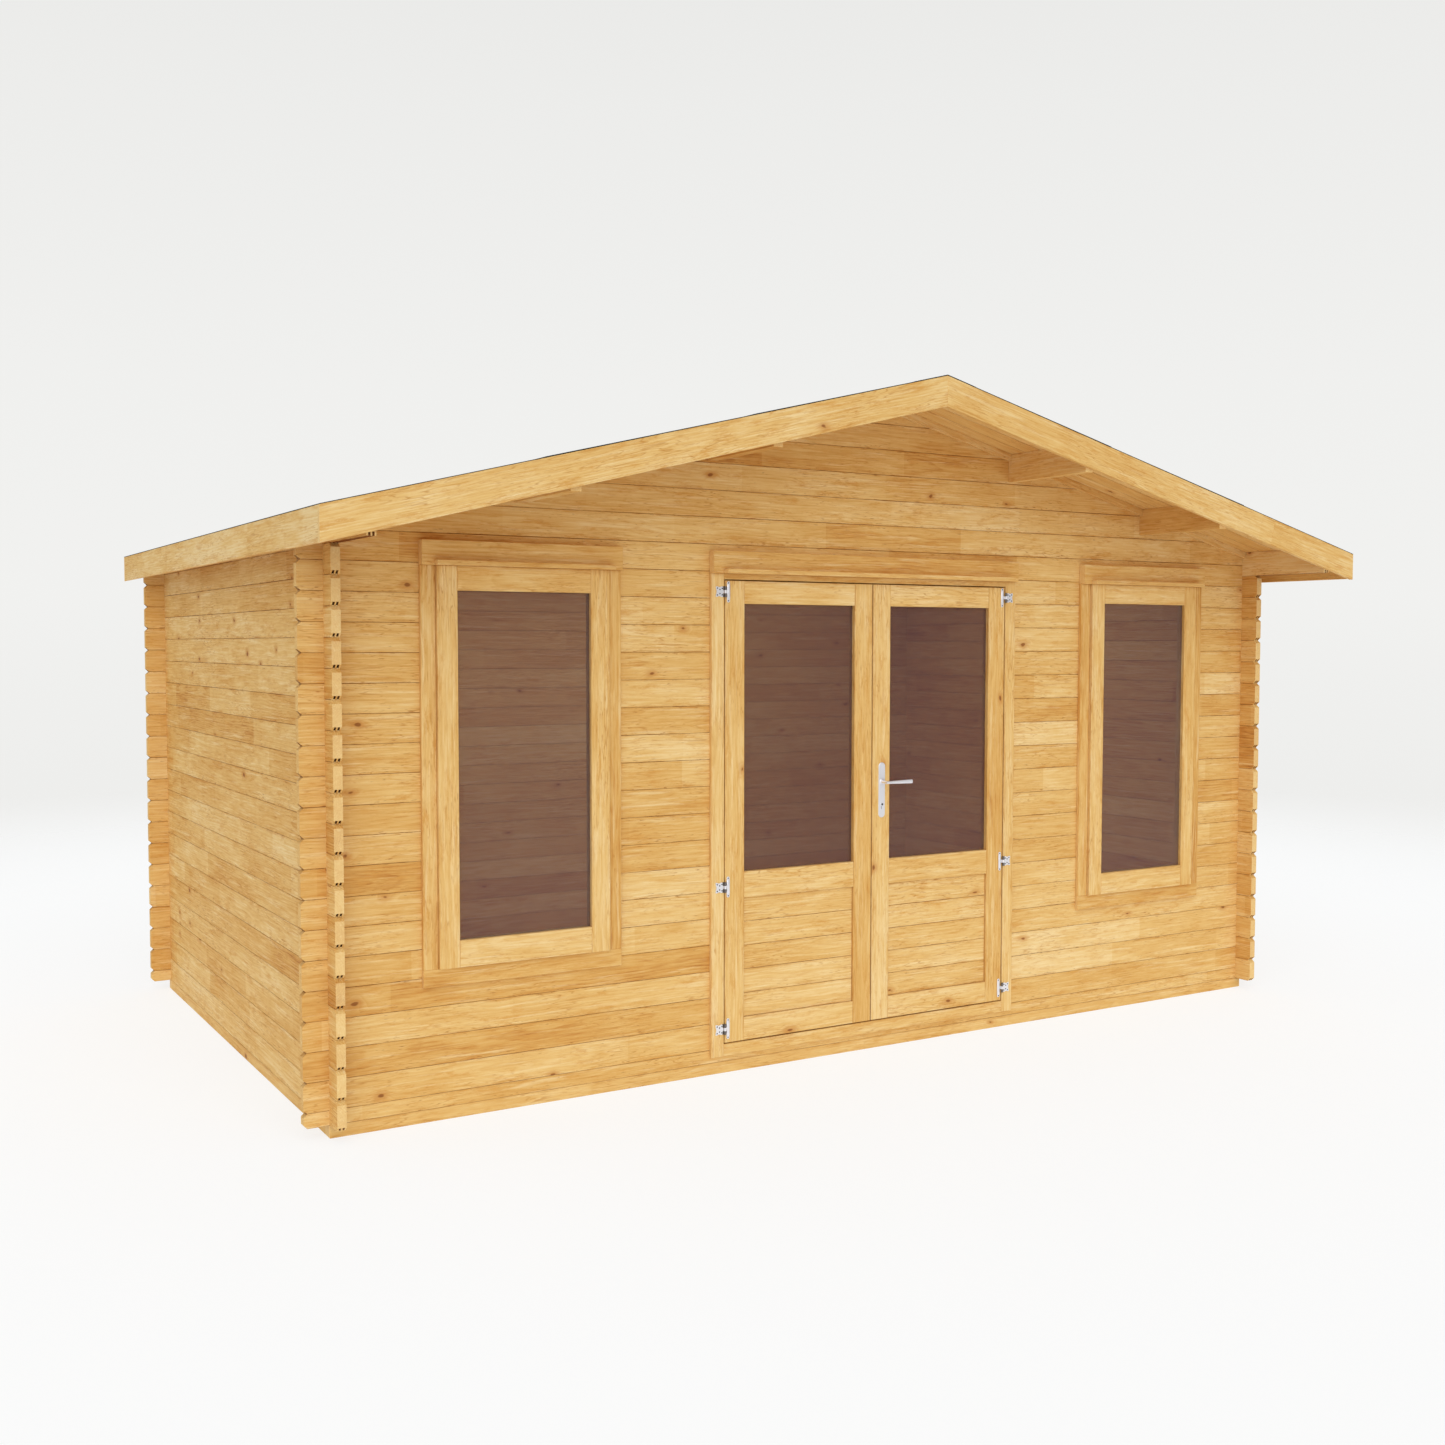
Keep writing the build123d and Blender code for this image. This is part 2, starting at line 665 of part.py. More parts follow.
def round_ended(x, z, width, height):
    radius = width / 2
    points = []
    for end in (1, -1):
        for step in range(PLATE_END_SIDES + 1):
            turn = radians(step * 180 / PLATE_END_SIDES)
            reach = end * (height / 2 - radius + radius * sin(turn))
            points.append((x + end * radius * cos(turn), z + reach))
    outline(points)


def barrel_and_web(side, foot, height, reach, web_face, web_thickness):
    with BuildSketch(Plane.XY.offset(foot)) as section:
        with Locations((side * hinge_x, barrel_y)):
            RegularPolygon(BARREL_RADIUS, BARREL_SIDES)
        with Locations((side * (hinge_x + reach / 2), web_face + web_thickness / 2)):
            Rectangle(abs(reach), web_thickness)
    return extrude(section.sketch, amount=height)


frame_webs = []
door_webs = {-1: [], 1: []}
for side in (-1, 1):
    for height in HINGE_HEIGHTS:
        for foot in (height - 1.5 * knuckle, height + 0.5 * knuckle):
            frame_webs.append(
                barrel_and_web(side, foot, knuckle, 2 * DOOR_GAP, trim_face - HINGE_PLATE, HINGE_PLATE)
            )
        door_webs[side].append(
            barrel_and_web(
                side,
                height - knuckle / 2 + KNUCKLE_GAP,
                knuckle - 2 * KNUCKLE_GAP,
                -2 * DOOR_GAP,
                leaf_face - HINGE_PLATE - LEAF_SETBACK,
                HINGE_PLATE + LEAF_SETBACK,
            )
        )

with BuildPart() as hinges_frame:
    for side in (-1, 1):
        for height in HINGE_HEIGHTS:
            with BuildSketch(Plane.XZ.offset(-trim_face)):
                near = side * (hinge_x + BARREL_RADIUS + BARREL_STAND_OFF)
                middle = side * (hinge_x + FRAME_LEAF_WIDTH / 2)
                far = side * (hinge_x + FRAME_LEAF_WIDTH)
                wide = FRAME_LEAF_WIDTH / 2
                waist = FRAME_LEAF_WAIST / 2
                outline(
                    [
                        (near, height - wide),
                        (middle, height - waist),
                        (far, height - wide),
                        (far, height + wide),
                        (middle, height + waist),
                        (near, height + wide),
                    ]
                )
            extrude(amount=HINGE_PLATE)
    add(frame_webs)
hinges_frame.part.label = "hinges_frame"
export_step(hinges_frame.part, "parts/hinges_frame.step")

plate_gap = BARREL_RADIUS + PLATE_CLEARANCE
for side, suffix in ((-1, "left"), (1, "right")):
    with BuildPart() as hinge_plates:
        with BuildSketch(Plane.XZ.offset(-leaf_face)):
            plate_centre = side * (hinge_x - plate_gap - DOOR_PLATE_WIDTH / 2)
            for height in HINGE_HEIGHTS:
                round_ended(plate_centre, height, DOOR_PLATE_WIDTH, DOOR_PLATE_HEIGHT)
        extrude(amount=HINGE_PLATE)
        add(door_webs[side])
    hinge_plates.part.label = f"hinge_plates_{suffix}"
    export_step(hinge_plates.part, f"parts/hinge_plates_{suffix}.step")

# Handle on the right leaf: a long plate with a keyhole, and a lever on its spindle
handle_x = DOOR_GAP / 2 + HANDLE_FROM_EDGE
lever_z = HANDLE_HEIGHT + LEVER_ABOVE_MIDDLE
plate_face = leaf_face - HANDLE_PLATE_THICKNESS
with BuildPart() as handle_plate:
    with BuildSketch(Plane.XZ.offset(-leaf_face)):
        with Locations((handle_x, HANDLE_HEIGHT)):
            SlotOverall(HANDLE_PLATE_HEIGHT, HANDLE_PLATE_WIDTH, rotation=90)
        with Locations((handle_x, HANDLE_HEIGHT - KEYHOLE_BELOW_MIDDLE)):
            Circle(KEYHOLE_RADIUS, mode=Mode.SUBTRACT)
    extrude(amount=HANDLE_PLATE_THICKNESS)
handle_plate.part.label = "handle_plate"
export_step(handle_plate.part, "parts/handle_plate.step")

with BuildPart() as handle_lever:
    with BuildSketch(Plane.XZ.offset(-plate_face)):
        with Locations((handle_x, lever_z)):
            Circle(SPINDLE_RADIUS)
    extrude(amount=SPINDLE_LENGTH)
    with BuildSketch(Plane.XZ.offset(-plate_face + SPINDLE_LENGTH - LEVER_THICKNESS)):
        with Locations((handle_x - LEVER_DEPTH / 2, lever_z)):
            SlotOverall(LEVER_LENGTH + LEVER_DEPTH, LEVER_DEPTH, align=(Align.MIN, Align.CENTER))
    extrude(amount=LEVER_THICKNESS)
handle_lever.part.label = "handle_lever"
export_step(handle_lever.part, "parts/handle_lever.step")
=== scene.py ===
import logging
import math
from dataclasses import dataclass, field, replace
from enum import Enum
from typing import Any, Callable, Iterable, Mapping, Protocol, Sequence

import bmesh
import bpy
import numpy as np
from mathutils import Matrix, Vector


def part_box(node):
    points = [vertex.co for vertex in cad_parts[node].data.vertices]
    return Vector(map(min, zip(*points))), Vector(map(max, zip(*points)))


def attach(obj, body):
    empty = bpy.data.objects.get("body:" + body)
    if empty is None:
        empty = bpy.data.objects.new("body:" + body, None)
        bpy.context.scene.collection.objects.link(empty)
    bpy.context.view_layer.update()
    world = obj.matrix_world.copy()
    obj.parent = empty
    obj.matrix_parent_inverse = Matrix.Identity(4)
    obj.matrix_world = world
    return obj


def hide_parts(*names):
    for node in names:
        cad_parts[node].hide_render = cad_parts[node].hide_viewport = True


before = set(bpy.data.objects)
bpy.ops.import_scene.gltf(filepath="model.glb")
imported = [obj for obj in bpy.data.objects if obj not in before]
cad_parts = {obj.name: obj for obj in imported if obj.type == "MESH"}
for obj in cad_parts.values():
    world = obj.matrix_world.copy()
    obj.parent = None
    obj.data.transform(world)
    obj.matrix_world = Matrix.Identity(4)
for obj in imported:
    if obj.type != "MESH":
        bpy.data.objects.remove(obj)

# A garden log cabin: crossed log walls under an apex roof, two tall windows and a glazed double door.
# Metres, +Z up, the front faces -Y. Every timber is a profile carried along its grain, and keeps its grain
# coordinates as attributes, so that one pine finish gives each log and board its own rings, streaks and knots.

Array = np.ndarray
Colour = tuple[float, float, float]
Limit = Callable[[Array], Array]
Profile = tuple[tuple[float, float], ...]
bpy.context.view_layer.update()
PLANED = 0.0015  # the usual width of a timber's planed edge
GRID = 2e6  # steps a metre of the grid on which a solid's points are merged
AIR = 0.00005  # how far each face of a board stands back, so that no two timbers share a corner
NO_CEILING = 1.0  # a height above a log's foot that no log reaches
BUTTED = 0.25  # how dark the joints between rails and stiles are
FLAT_AREA = 1e-11  # a face that is smaller than this has no width, and joins its neighbour
SHARP = math.radians(32)  # turned parts keep an edge where their faces turn by more than this
UPWARD = (0.0, 0.0, 1.0)
OUTWARD = (0.0, -1.0, 0.0)
SIDEWAYS = (1.0, 0.0, 0.0)
BACKWARD = (0.0, 1.0, 0.0)
LEFTWARD = (-1.0, 0.0, 0.0)
log = logging.getLogger("cabin")


class Body(Enum):
    """The bodies that a piece can ride on."""

    CABIN = "cabin"
    LEFT_DOOR = "left_door"
    RIGHT_DOOR = "right_door"
    LEVER = "lever"


class Slot(Enum):
    """The material slots."""

    LOG = "log_wood"
    TRIM = "trim_wood"
    BEARER = "bearer_wood"
    ROOF = "roof_wood"
    FELT = "felt"
    GLASS = "tinted_glass"
    STEEL = "bright_steel"


class Side(Enum):
    """Left or right of the middle plane, with the sign of its X."""

    LEFT = -1
    RIGHT = 1

    @property
    def word(self) -> str:
        """The side's name in lower case."""
        return self.name.lower()

    @property
    def door(self) -> Body:
        """The body of this side's door leaf."""
        return Body.LEFT_DOOR if self is Side.LEFT else Body.RIGHT_DOOR


class Grain(Enum):
    """Which way a straight timber runs, as the directions along it and across its face."""

    X = (SIDEWAYS, UPWARD)
    Y = (BACKWARD, UPWARD)
    Z = (UPWARD, LEFTWARD)
    FLAT_X = (SIDEWAYS, BACKWARD)


# ---- Shader graph


class Signal:
    """A shader socket that takes part in arithmetic."""

    def __init__(self, graph: "Graph", socket: bpy.types.NodeSocket) -> None:
        """Keeps the socket and the graph that it belongs to."""
        self.graph = graph
        self.socket = socket

    def _math(self, operation: str, *values: Any) -> "Signal":
        """Adds a Math node.

        Args:
            operation: The Math node's operation.
            values: Its inputs in order, numbers or signals.

        Returns:
            The node's result.
        """
        return self.graph.signal("ShaderNodeMath", {"operation": operation}, dict(enumerate(values)))

    def __add__(self, other: Any) -> "Signal":
        """The sum."""
        return self._math("ADD", self, other)

    __radd__ = __add__

    def __mul__(self, other: Any) -> "Signal":
        """The product."""
        return self._math("MULTIPLY", self, other)

    __rmul__ = __mul__

    def __sub__(self, other: Any) -> "Signal":
        """This less the other."""
        return self._math("SUBTRACT", self, other)

    def __rsub__(self, other: Any) -> "Signal":
        """The other less this."""
        return self._math("SUBTRACT", other, self)

    def __pow__(self, power: float) -> "Signal":
        """This to a power."""
        return self._math("POWER", self, power)

    def fraction(self) -> "Signal":
        """What is left after the whole number."""
        return self._math("FRACT", self)

    def size(self) -> "Signal":
        """The value without its sign."""
        return self._math("ABSOLUTE", self)

    def above(self, edge: float) -> "Signal":
        """1 where this is more than the edge, else 0."""
        return self._math("GREATER_THAN", self, edge)

    def least(self, other: "Signal") -> "Signal":
        """The lesser of this and another."""
        return self._math("MINIMUM", self, other)

    def step(self, start: float, end: float) -> "Signal":
        """A smooth step.

        Args:
            start: The value that gives 0.
            end: The value that gives 1.

        Returns:
            From 0 to 1.
        """
        return self.graph.signal(
            "ShaderNodeMapRange",
            {"interpolation_type": "SMOOTHSTEP"},
            {"Value": self, "From Min": start, "From Max": end, "To Min": 0.0, "To Max": 1.0},
        )


class Graph:
    """The node tree of a material or of the world."""

    def __init__(self, owner: bpy.types.Material | bpy.types.World) -> None:
        """Empties the tree.

        Args:
            owner: The material or the world that it belongs to.
        """
        owner.use_nodes = True
        self.tree = owner.node_tree
        self.tree.nodes.clear()

    def node(
        self, kind: str, settings: Mapping[str, Any] | None = None, sockets: Mapping[Any, Any] | None = None
    ) -> bpy.types.ShaderNode:
        """Adds a node of any type.

        Args:
            kind: The node's type.
            settings: What is set first; "stops" are a ramp's places and colours.
            sockets: Input name or number to a value or a signal.

        Returns:
            The node.
        """
        made = self.tree.nodes.new(kind)
        for key, value in (settings or {}).items():
            if key == "stops":
                ramp = made.color_ramp
                while len(ramp.elements) < len(value):
                    ramp.elements.new(0.5)
                for element, (place, colour) in zip(ramp.elements, value):
                    element.position = place
                    element.color = (*colour, 1.0)
            else:
                setattr(made, key, value)
        for key, value in (sockets or {}).items():
            self.feed(made.inputs[key], value)
        return made

    def signal(
        self,
        kind: str,
        settings: Mapping[str, Any] | None = None,
        sockets: Mapping[Any, Any] | None = None,
        output: int | str = 0,
    ) -> Signal:
        """Adds a node and gives one of its outputs.

        Args:
            kind: The node's type.
            settings: As for node.
            sockets: As for node.
            output: The output's name or number.

        Returns:
            The output.
        """
        return Signal(self, self.node(kind, settings, sockets).outputs[output])

    def feed(self, socket: bpy.types.NodeSocket, value: Any) -> None:
        """Links a signal to a socket, or sets the socket's own value.

        Args:
            socket: The socket.
            value: A signal, or a number or a colour.
        """
        if isinstance(value, Signal):
            self.tree.links.new(value.socket, socket)
        else:
            socket.default_value = value

    def attribute(self, name: str) -> Signal:
        """A piece's own vector attribute."""
        return self.signal("ShaderNodeAttribute", {"attribute_name": name}, output="Vector")

    def place(self, output: str = "Object") -> Signal:
        """The point, or with "Normal" the surface's direction, in the piece's own coordinates."""
        return self.signal("ShaderNodeTexCoord", output=output)

    def split(self, vector: Signal) -> tuple[Signal, Signal, Signal]:
        """A vector's three parts."""
        made = self.node("ShaderNodeSeparateXYZ", sockets={0: vector})
        return tuple(Signal(self, out) for out in made.outputs)

    def join(self, x: Any, y: Any, z: Any) -> Signal:
        """A vector of three parts."""
        return self.signal("ShaderNodeCombineXYZ", sockets={0: x, 1: y, 2: z})

    def scaled(self, vector: Signal, by: Colour) -> Signal:
        """A vector with each part multiplied."""
        return self.signal("ShaderNodeVectorMath", {"operation": "MULTIPLY"}, {0: vector, 1: by})

    def dot(self, a: Signal, b: Signal) -> Signal:
        """Two vectors' dot product."""
        return self.signal("ShaderNodeVectorMath", {"operation": "DOT_PRODUCT"}, {0: a, 1: b}, "Value")

    def noise(self, vector: Signal, scale: float = 1.0, detail: float = 2.0, rough: float = 0.5) -> Signal:
        """Cloudy noise around 0.5."""
        sockets = {"Vector": vector, "Scale": scale, "Detail": detail, "Roughness": rough}
        return self.signal("ShaderNodeTexNoise", sockets=sockets)

    def mix(self, factor: Any, a: Any, b: Any) -> Signal:
        """A colour between two.

        Args:
            factor: 0 gives a and 1 gives b.
            a: A colour or a signal.
            b: A colour or a signal.

        Returns:
            The mixed colour.
        """
        ends = {key: v if isinstance(v, Signal) else (*v, 1.0) for key, v in ((6, a), (7, b))}
        return self.signal("ShaderNodeMix", {"data_type": "RGBA", "clamp_factor": True}, {0: factor, **ends}, 2)

    def ramp(self, value: Signal, stops: Sequence[tuple[float, Colour]]) -> Signal:
        """A value turned into a colour."""
        return self.signal("ShaderNodeValToRGB", {"stops": stops}, {0: value})

    def bump(self, height: Signal, strength: float, distance: float) -> Signal:
        """A normal bent by a height."""
        return self.signal("ShaderNodeBump", sockets={"Height": height, "Strength": strength, "Distance": distance})


class Surface(Graph):
    """The node tree of one material, with a Principled shader at its end."""

    def __init__(self, name: str) -> None:
        """Makes the material.

        Args:
            name: The material's name.
        """
        self.material = bpy.data.materials.new(name)
        super().__init__(self.material)
        self.shader = self.node("ShaderNodeBsdfPrincipled")
        self.node("ShaderNodeOutputMaterial", sockets={"Surface": Signal(self, self.shader.outputs[0])})

    def set(self, **values: Any) -> None:
        """Sets the Principled shader's sockets, with spaces written as underscores."""
        for key, value in values.items():
            self.feed(self.shader.inputs[key.replace("_", " ")], value)


# ---- Finishes


class Field(Enum):
    """Noise in a timber: its scale along and across the grain, its detail and its roughness."""

    WANDER = (9.0, 22.0, 2.0, 0.5)
    SWAY = (1.5, 6.0, 3.0, 0.5)
    STREAK = (4.2, 135.0, 4.0, 0.72)
    FIBRE = (11.0, 340.0, 3.0, 0.6)
    CLOUD = (4.6, 19.0, 5.0, 0.66)
    DRIFT = (0.85, 3.2, 1.0, 0.5)
    AMBER = (7.5, 34.0, 6.0, 0.76)
    CREAM = (2.6, 56.0, 5.0, 0.72)
    FLECK = (26.0, 240.0, 2.0, 0.6)
    LOOPS = (2.1, 34.0, 2.0, 0.45)
    PATCH = (3.1, 8.0, 3.0, 0.6)
    RUST = (6.0, 70.0, 5.0, 0.72)
    WORN = (3.4, 3.0, 4.0, 0.75)


@dataclass(frozen=True)
class Pine:
    """Planed and oiled pine, read from a timber's grain coordinates.

    The rings are shells round the pith, so they draw lines and arches on the faces and arcs on the ends. Dark
    veins, flecks and rust lie in patches, and blocks of wood along a timber differ in tone. Joints are thin dark
    lines along the timber's two long sides, worn more in some places than in others.
    """

    name: str
    stops: tuple[tuple[float, Colour], ...] = (
        (0.0, (0.88, 0.66, 0.33)),
        (0.34, (0.79, 0.51, 0.185)),
        (0.62, (0.70, 0.395, 0.115)),
        (0.84, (0.58, 0.265, 0.062)),
        (1.0, (0.40, 0.155, 0.038)),
    )
    amber: Colour = (0.66, 0.325, 0.075)
    cream: Colour = (0.90, 0.70, 0.37)
    end: Colour = (0.86, 0.62, 0.29)
    # the joints' colour, also used for the painted shade in the grooves' holes and on the tip chamfers
    gap: Colour = (0.235, 0.062, 0.009)
    vein: Colour = (0.52, 0.225, 0.045)
    knot: Colour = (0.24, 0.075, 0.02)
    halo: Colour = (0.56, 0.235, 0.055)
    middle: float = 0.37
    shade: float = 0.0
    figure: float = 1.0
    spread: float = 0.34
    knots: float = 0.11
    blocks: float = 0.0
    block_rate: float = 1.35
    ring_rate: float = 115.0
    roughness: float = 0.6
    sheen: float = 0.06
    relief: float = 0.0006

    def material(self) -> bpy.types.Material:
        """Builds the node tree.

        Returns:
            The material.
        """
        g = Surface(self.name)
        grain = g.attribute("grain")
        # tip is how much painted shade the chamfers at the timber's ends get
        bright, warm, tip = g.split(g.attribute("tone"))
        core, halo = self.spots(g, grain)
        ring = self.rings(g, grain, halo)
        streak = self.field(g, grain, Field.STREAK) - 0.5
        fibre = self.field(g, grain, Field.FIBRE) - 0.5
        cloud = self.field(g, grain, Field.CLOUD) - 0.5
        drift = self.field(g, grain, Field.DRIFT) - 0.5
        figure = streak * 0.74 + ring * 0.18 + cloud * 0.56 + drift * 0.55 + fibre * 0.34
        lot = (bright - 0.5) * self.spread + self.block(g, grain) * self.blocks
        value = figure * self.figure + lot + (self.middle + self.shade)

        amber = self.field(g, grain, Field.AMBER).step(0.51, 0.66)
        cream = self.field(g, grain, Field.CREAM).step(0.53, 0.68)
        loops = self.field(g, grain, Field.LOOPS) * 12.0
        vein = (loops.fraction() - 0.5).size().step(0.36, 0.49)
        patch = self.field(g, grain, Field.PATCH).step(0.40, 0.66)
        fleck = self.field(g, grain, Field.FLECK)
        colour = g.ramp(value, self.stops)
        colour = g.mix(amber * (warm * 0.45 + 0.36), colour, self.amber)
        colour = g.mix(cream * 0.52, colour, self.cream)
        colour = g.mix(vein * patch * 0.60, colour, self.vein)
        colour = g.mix(fleck.step(0.59, 0.68) * patch * 0.55, colour, self.halo)
        colour = g.mix(halo * halo * 0.62, colour, self.halo)
        colour = g.mix(core * 0.8, colour, self.knot)
        g.set(
            Base_Color=self.edges(g, grain, colour, fleck, tip),
            Roughness=value * 0.12 + (self.roughness - 0.05),
            Specular_IOR_Level=self.sheen,
            Normal=g.bump(fibre * 0.3 + ring * 0.35 + streak * 0.4 - core * 0.5, 0.3, self.relief),
        )
        return g.material

    @staticmethod
    def field(g: Surface, grain: Signal, field: Field) -> Signal:
        """One of the noises."""
        along, across, detail, rough = field.value
        return g.noise(g.scaled(grain, (along, across, across)), detail=detail, rough=rough)

    def spots(self, g: Surface, grain: Signal) -> tuple[Signal, Signal]:
        """Finds the knots, in some of the cells of a bent grid.

        Args:
            g: The node tree.
            grain: The grain coordinates.

        Returns:
            The knots' cores, and the halos round them.
        """
        wander = self.field(g, grain, Field.WANDER) - 0.5
        along, across, _ = g.split(grain)
        place = g.join(along * 4.4 + wander * 0.16, across * 8.2 + wander * 0.30, 0.0)
        cells = {"voronoi_dimensions": "2D", "feature": "F1"}
        cell = g.node("ShaderNodeTexVoronoi", cells, {"Vector": place, "Scale": 1.0})
        chance, size, _ = g.split(Signal(g, cell.outputs["Color"]))
        real = 1.0 - chance.above(self.knots)
        reach = Signal(g, cell.outputs["Distance"]) - size * 0.035
        return (1.0 - reach.step(0.008, 0.045)) * real, (1.0 - reach.step(0.02, 0.26)) * real

    def rings(self, g: Surface, grain: Signal, halo: Signal) -> Signal:
        """Draws the year's rings, which darken slowly and end sharply.

        Args:
            g: The node tree.
            grain: The grain coordinates.
            halo: The knots' halos, which bend the rings.

        Returns:
            How dark the ring is, 0 to 1.
        """
        sway = self.field(g, grain, Field.SWAY) - 0.5
        _, across, out = g.split(grain)
        pith = (across ** 2.0 + out ** 2.0) ** 0.5
        ring = ((pith + sway * 0.055 + halo * 0.012) * self.ring_rate).fraction()
        return ring * ring * (1.0 - ring.step(0.84, 1.0))

    def block(self, g: Surface, grain: Signal) -> Signal:
        """The tone of the block of wood that a place along the timber is in, around 0.

        Args:
            g: The node tree.
            grain: The grain coordinates.

        Returns:
            The tone.
        """
        length = g.split(grain)[0] * self.block_rate
        number = length - length.fraction()
        return g.signal("ShaderNodeTexWhiteNoise", {"noise_dimensions": "1D"}, {"W": number}, "Value") - 0.5

    def edges(self, g: Surface, grain: Signal, colour: Signal, fleck: Signal, tip: Signal) -> Signal:
        """Adds the rust near the edges, the joints, the sawn ends, and painted shade in the grooves' holes and on the
        chamfers at the tips.

        Args:
            g: The node tree.
            grain: The grain coordinates.
            colour: The wood's colour.
            fleck: The noise that tears the joints' edges.
            tip: How much painted shade the chamfers get.

        Returns:
            The colour with them.
        """
        below, above, depth = g.split(g.attribute("edge"))
        joint, near = g.attribute("joint"), below.least(above)
        ends = g.dot(g.place("Normal"), g.attribute("axis")).size()
        cut, side = ends.step(0.8, 0.95), 1.0 - ends.step(0.25, 0.5)
        rust = self.field(g, grain, Field.RUST).step(0.50, 0.64) * (1.0 - near.step(0.0015, 0.018))
        torn = (fleck - near * 2.2).step(0.60, 0.70)
        worn = self.field(g, grain, Field.WORN).step(0.38, 0.62) * 0.74 + 0.24
        line = (1.0 - near.step(0.0005, 0.0024)) * joint * side
        # painted shade: faces deep inside a log's thickness, the grooves' holes and the hidden faces between boards,
        # go towards the joints' colour
        groove = depth.step(0.0022, 0.0045) * joint.above(0.9) * side
        # painted shade on the chamfer facets at the tips, darkest along their edges
        notch = ((1.0 - near.step(0.0015, 0.0075)) * 0.60 + 0.14) * tip
        colour = g.mix(rust * side * 0.50, colour, self.vein)
        colour = g.mix(torn * joint * side * 0.5, colour, self.gap)
        colour = g.mix(line * worn, colour, self.gap)
        # painted shade in the grooves' holes
        colour = g.mix(groove * 0.85, colour, self.gap)
        colour = g.mix(cut * (0.5 - tip * 0.4), colour, self.end)
        # painted shade on the chamfers at the tips
        return g.mix((1.0 - side) * (1.0 - cut) * notch, colour, self.gap)


@dataclass(frozen=True)
class Felt:
    """Charcoal roofing felt with mineral grit, rain streaks down the slopes and a dark line at each lap."""

    name: str = "mineral_felt"
    base: Colour = (0.010, 0.010, 0.011)
    grit: Colour = (0.052, 0.052, 0.055)
    dust: Colour = (0.085, 0.083, 0.080)
    lap_line: Colour = (0.004, 0.004, 0.004)
    past_lap: float = 0.004

    def material(self) -> bpy.types.Material:
        """Builds the node tree: grit by fine noise, mottling and weather by slow noise, streaks by stretched noise.

        Returns:
            The material.
        """
        g = Surface(self.name)
        place = g.place()
        grit = g.noise(place, 700.0, 2.0, 0.7)
        mottle = g.noise(place, 46.0, 5.0, 0.78)
        weather = g.noise(place, 1.9, 4.0, 0.6)
        streaks = g.noise(g.scaled(place, (0.9, 13.0, 0.9)), detail=5.0, rough=0.62)
        down = g.split(place)[0].size() * (1.0 / math.cos(PLAN.pitch))
        laps = sum(1.0 - (down - (lap + self.past_lap)).size().step(0.002, 0.011) for lap in PLAN.felt_laps)
        colour = g.mix(grit.step(0.42, 0.70) * 0.45 + mottle.step(0.40, 0.66) * 0.40, self.base, self.grit)
        colour = g.mix(streaks.step(0.46, 0.72) * 0.26 + weather.step(0.45, 0.75) * 0.20, colour, self.dust)
        g.set(
            Base_Color=g.mix(laps * 0.8, colour, self.lap_line),
            Roughness=0.92,
            Normal=g.bump(grit * 0.6 + mottle + weather * 2.0, 0.6, 0.0016),
        )
        return g.material


@dataclass(frozen=True)
class Glass:
    """Brown tinted pane, part see-through."""

    name: str
    tint: Colour
    alpha: float
    haze: float = 0.06
    roughness: float = 0.08
    shine: float = 0.25

    def material(self) -> bpy.types.Material:
        """Builds the node tree: a glossy tinted sheet, its tint uneven by slow noise.

        Returns:
            The material.
        """
        g = Surface(self.name)
        haze = g.noise(g.place(), 1.3, 2.0)
        thin, thick = (tuple(c * (1.0 + part) for c in self.tint) for part in (-self.haze, self.haze))
        g.set(
            Base_Color=g.mix(haze, thin, thick),
            Alpha=haze * 0.02 + (self.alpha - 0.01),
            Roughness=self.roughness,
            Specular_IOR_Level=self.shine,
        )
        return g.material


@dataclass(frozen=True)
class Steel:
    """Satin metal with a faint brushed grain."""

    name: str
    base: Colour
    roughness: float = 0.32
    metallic: float = 1.0

    def material(self) -> bpy.types.Material:
        """Builds the node tree: long fine scratches in the height, slow smudges in the roughness.

        Returns:
            The material.
        """
        g = Surface(self.name)
        place = g.place()
        brushed = g.noise(g.scaled(place, (900.0, 900.0, 40.0)), detail=2.0)
        smudge = g.noise(place, 14.0, 2.0)
        g.set(
            Base_Color=g.mix(smudge, tuple(c * 0.92 for c in self.base), self.base),
            Metallic=self.metallic,
            Roughness=smudge * 0.16 + (self.roughness - 0.08),
            Normal=g.bump(brushed, 0.15, 0.0002),
        )
        return g.material


